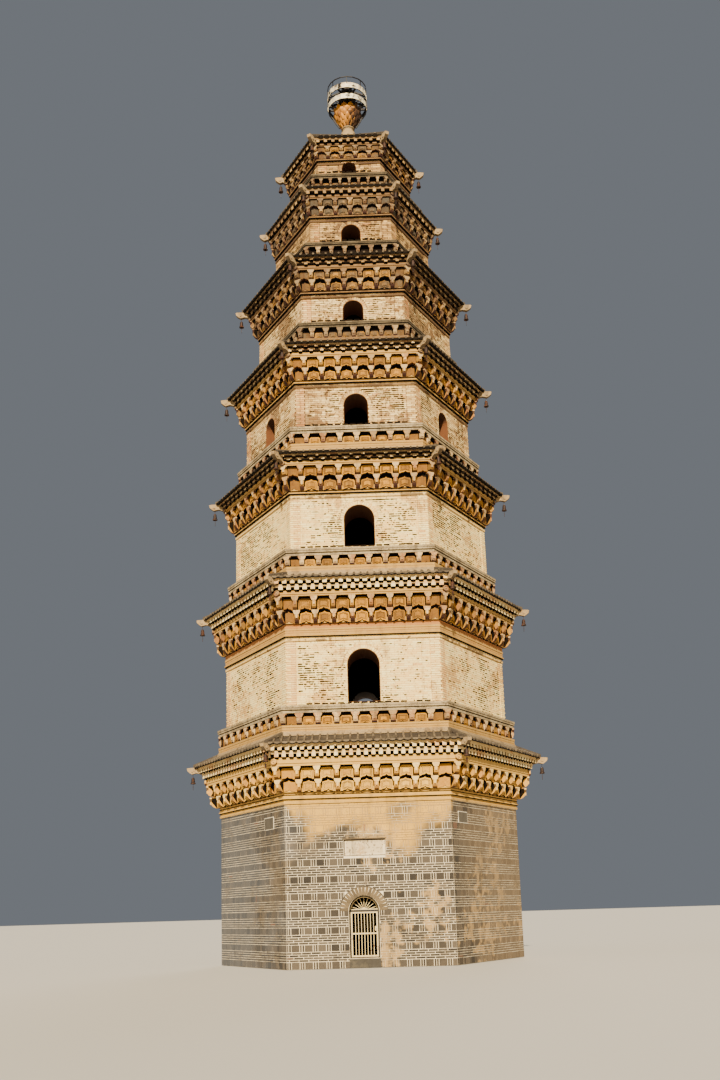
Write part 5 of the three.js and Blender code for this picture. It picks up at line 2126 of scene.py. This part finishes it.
@dataclass
class Finial:
    """The stone pedestal, the lotus bowl and the iron cage at the top."""

    workshop: Workshop
    petal_rows: int = 6
    petals: int = 12
    bands: tuple[Point, ...] = ((29.48, 29.66), (29.89, 30.07))
    seed: int = 90

    def build(self) -> None:
        """Builds the pedestal and the bowl, and dresses the cage."""
        low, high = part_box("finial_pedestal")
        foot, top = low.z, high.z
        pedestal = turned("finial_pedestal_stone", [
            (0.0, foot), (0.33, foot), (0.33, foot + 0.1), (0.315, foot + 0.13), (0.28, foot + 0.15),
            (0.27, foot + 0.17), (0.27, foot + 0.24), (0.25, foot + 0.26), (0.25, foot + 0.29),
            (0.22, foot + 0.32), (0.19, foot + 0.35), (0.185, foot + 0.38), (0.2, foot + 0.42),
            (0.225, top - 0.025), (0.225, top), (0.0, top)], 24)
        dress(smooth(pedestal), HORN_PLASTER, replaces=["finial_pedestal"])
        self.bowl()
        iron = replace(CAGE_IRON, bands=self.bands)
        repaint("finial_cage", iron)
        dress(join("finial_raised_hubs", [part for top in HUB_TOPS for part in self.hub(top)]), iron)
        LOG.info("finial")

    @staticmethod
    def hub(top: float) -> list[Part]:
        """Builds a flat hub on the mast and the six spokes that fall from it to the band below."""
        disc = turned("hub", [(0.0, top - 0.07), (0.21, top - 0.07), (0.22, top - 0.02),
                              (0.12, top), (0.0, top)], 16)
        spoke = prism("spoke", [(0.19, top - 0.055), (0.2, top - 0.015),
                                (0.664, top - 0.19), (0.664, top - 0.25)], -0.03, 0.03, "x")
        mast = drum("mast", 0.05, top - 0.3, top - 0.01, 10)
        return [disc, mast, six_times(spoke, CORNER_TURN)]

    def bowl(self) -> None:
        """Builds the bowl's body and lays its overlapping petals row by row."""
        low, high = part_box("finial_lotus_bowl")
        foot, rim = low.z, high.z - 0.02
        profile = [(0.0, foot), (0.17, foot), (0.22, foot + 0.06), (0.3, foot + 0.2),
                   (0.37, foot + 0.36), (0.41, foot + 0.52), (0.43, rim - 0.02), (0.43, rim),
                   (0.3, rim + 0.01), (0.0, rim + 0.019)]
        body = turned("finial_bowl_body", profile, 24)
        dress(smooth(body), LOTUS_SEAM, replaces=["finial_lotus_bowl"])
        petal = self.workshop.shape("petal", self.petal)
        laid = []
        height = rim - foot
        for row in range(self.petal_rows):
            share = row / (self.petal_rows - 1)
            level = foot + 0.01 + share * (height - 0.17)
            radius = 0.2 + 0.225 * math.sin(share * math.pi / 2)
            lean = 0.5 - 0.3 * share
            for place in range(self.petals):
                angle = 2 * math.pi * (place + 0.5 * (row % 2)) / self.petals
                width = 2 * math.pi * radius / self.petals * 0.97
                laid.append(Laid((radius * math.sin(angle), -radius * math.cos(angle), level),
                                 (lean, 0.0, angle), (width, 0.95 * width, 0.225)))
        smooth(self.workshop.lay("finial_petals", laid, LOTUS_GLAZE, self.seed, 0.003, petal), 50)

    @staticmethod
    def petal(name: str) -> Part:
        """Makes a pointed petal, 1 m wide and 1 m high, hollow at its back."""
        rows = [(0.0, 0.22), (0.25, 0.42), (0.5, 0.5), (0.75, 0.4), (0.92, 0.18)]
        points, faces = [], []
        for level, half in rows:
            bulge = 0.16 * math.sin(math.pi * min(level * 1.1, 1))
            points += [(-half, 0.03, level), (0.0, -0.08 - bulge, level),
                       (half, 0.03, level), (0.0, 0.1, level)]
        for row in range(len(rows) - 1):
            for i in range(4):
                j = (i + 1) % 4
                faces.append([4 * row + i, 4 * row + j, 4 * row + 4 + j, 4 * row + 4 + i])
        tip = len(points)
        points.append((0.0, -0.02, 1.0))
        last = 4 * (len(rows) - 1)
        faces += [[last + i, last + (i + 1) % 4, tip] for i in range(4)]
        faces.append([3, 2, 1, 0])
        return solid(name, points, faces)


# Camera, light and stage


@dataclass
class Studio:
    """The camera at the photograph's viewpoint, the floor and the soft light."""

    place: Place = (0.154, -36.147, 1.6)
    heading: Point = (-0.0104, 0.99995)
    pitch: float = math.radians(7.61)
    roll: float = 0.0291
    lens: float = 37.42
    shift: float = 0.204

    def camera(self) -> None:
        """Sets the camera up."""
        data = bpy.data.cameras.new("camera")
        data.lens = self.lens
        data.sensor_width = 36
        data.sensor_fit = "AUTO"
        data.shift_y = self.shift
        data.clip_end = 500
        camera = bpy.data.objects.new("camera", data)
        east, north = self.heading
        right = Vector((north, -east, 0))
        ahead = Vector((east * math.cos(self.pitch), north * math.cos(self.pitch), math.sin(self.pitch)))
        up = right.cross(ahead)
        rolled_right = math.cos(self.roll) * right - math.sin(self.roll) * up
        rolled_up = math.sin(self.roll) * right + math.cos(self.roll) * up
        turn = Matrix((rolled_right, rolled_up, -ahead)).transposed().to_4x4()
        camera.matrix_world = Matrix.Translation(self.place) @ turn
        bpy.context.scene.collection.objects.link(camera)
        bpy.context.scene.camera = camera

    def sun(self, name: str, power: float, colour: tuple[float, float, float], turn: float, rise: float,
            size: float) -> None:
        """Adds a sun.

        Args:
            name: The lamp's name.
            power: Its strength.
            colour: Its colour.
            turn: The angle in degrees from the front, towards the right.
            rise: Its angle in degrees above the horizon.
            size: Its apparent size in degrees.
        """
        data = bpy.data.lights.new(name, "SUN")
        data.energy = power
        data.color = colour
        data.angle = math.radians(size)
        lamp = bpy.data.objects.new(name, data)
        turn, rise = math.radians(turn), math.radians(rise)
        shine = Vector((-math.sin(turn) * math.cos(rise), math.cos(turn) * math.cos(rise), -math.sin(rise)))
        lamp.rotation_euler = shine.to_track_quat("-Z", "Y").to_euler()
        bpy.context.scene.collection.objects.link(lamp)

    def build(self) -> None:
        """Sets up the camera, the lamps, the sky's light and the floor."""
        self.camera()
        self.sun("key", 10.0, (1.0, 0.86, 0.63), -3, 31, 1.5)
        self.sun("fill", 0.25, (0.85, 0.92, 1.0), -70, 30, 40)
        self.sun("back", 0.8, (0.95, 0.97, 1.0), 170, 40, 20)
        world = bpy.data.worlds.new("studio")
        world.use_nodes = True
        sky = world.node_tree.nodes["Background"]
        sky.inputs["Color"].default_value = (0.8, 0.87, 0.97, 1.0)
        sky.inputs["Strength"].default_value = 0.2
        bpy.context.scene.world = world
        floor = solid("studio_floor", [(-300, -300, -0.01), (300, -300, -0.01), (300, 300, -0.01),
                                       (-300, 300, -0.01)], [(0, 1, 2, 3)])
        paint = Paint("pale_floor")
        paint.shader.inputs["Base Color"].default_value = linear("#c4beb2")
        paint.shader.inputs["Roughness"].default_value = 0.9
        floor.data.materials.append(paint.material)


def main() -> None:
    """Builds the pagoda storey by storey, then the studio."""
    logging.basicConfig(level=logging.INFO, format="%(name)s: %(message)s")
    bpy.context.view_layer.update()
    workshop = Workshop()
    storeys = [Storey.read(number) for number in range(1, len(TIERS) + 1)]
    GroundWalls(storeys[0], workshop).build()
    Doorway(workshop).build()
    for storey in storeys:
        if storey.number > 1:
            Balcony(storey.number, workshop).build()
            UpperWalls(storey, workshop).build()
        Cornice(storey, workshop).build()
        Roof(storey, workshop).build()
    Finial(workshop).build()
    workshop.clear()
    Studio().build()


if __name__ == "__main__":
    main()
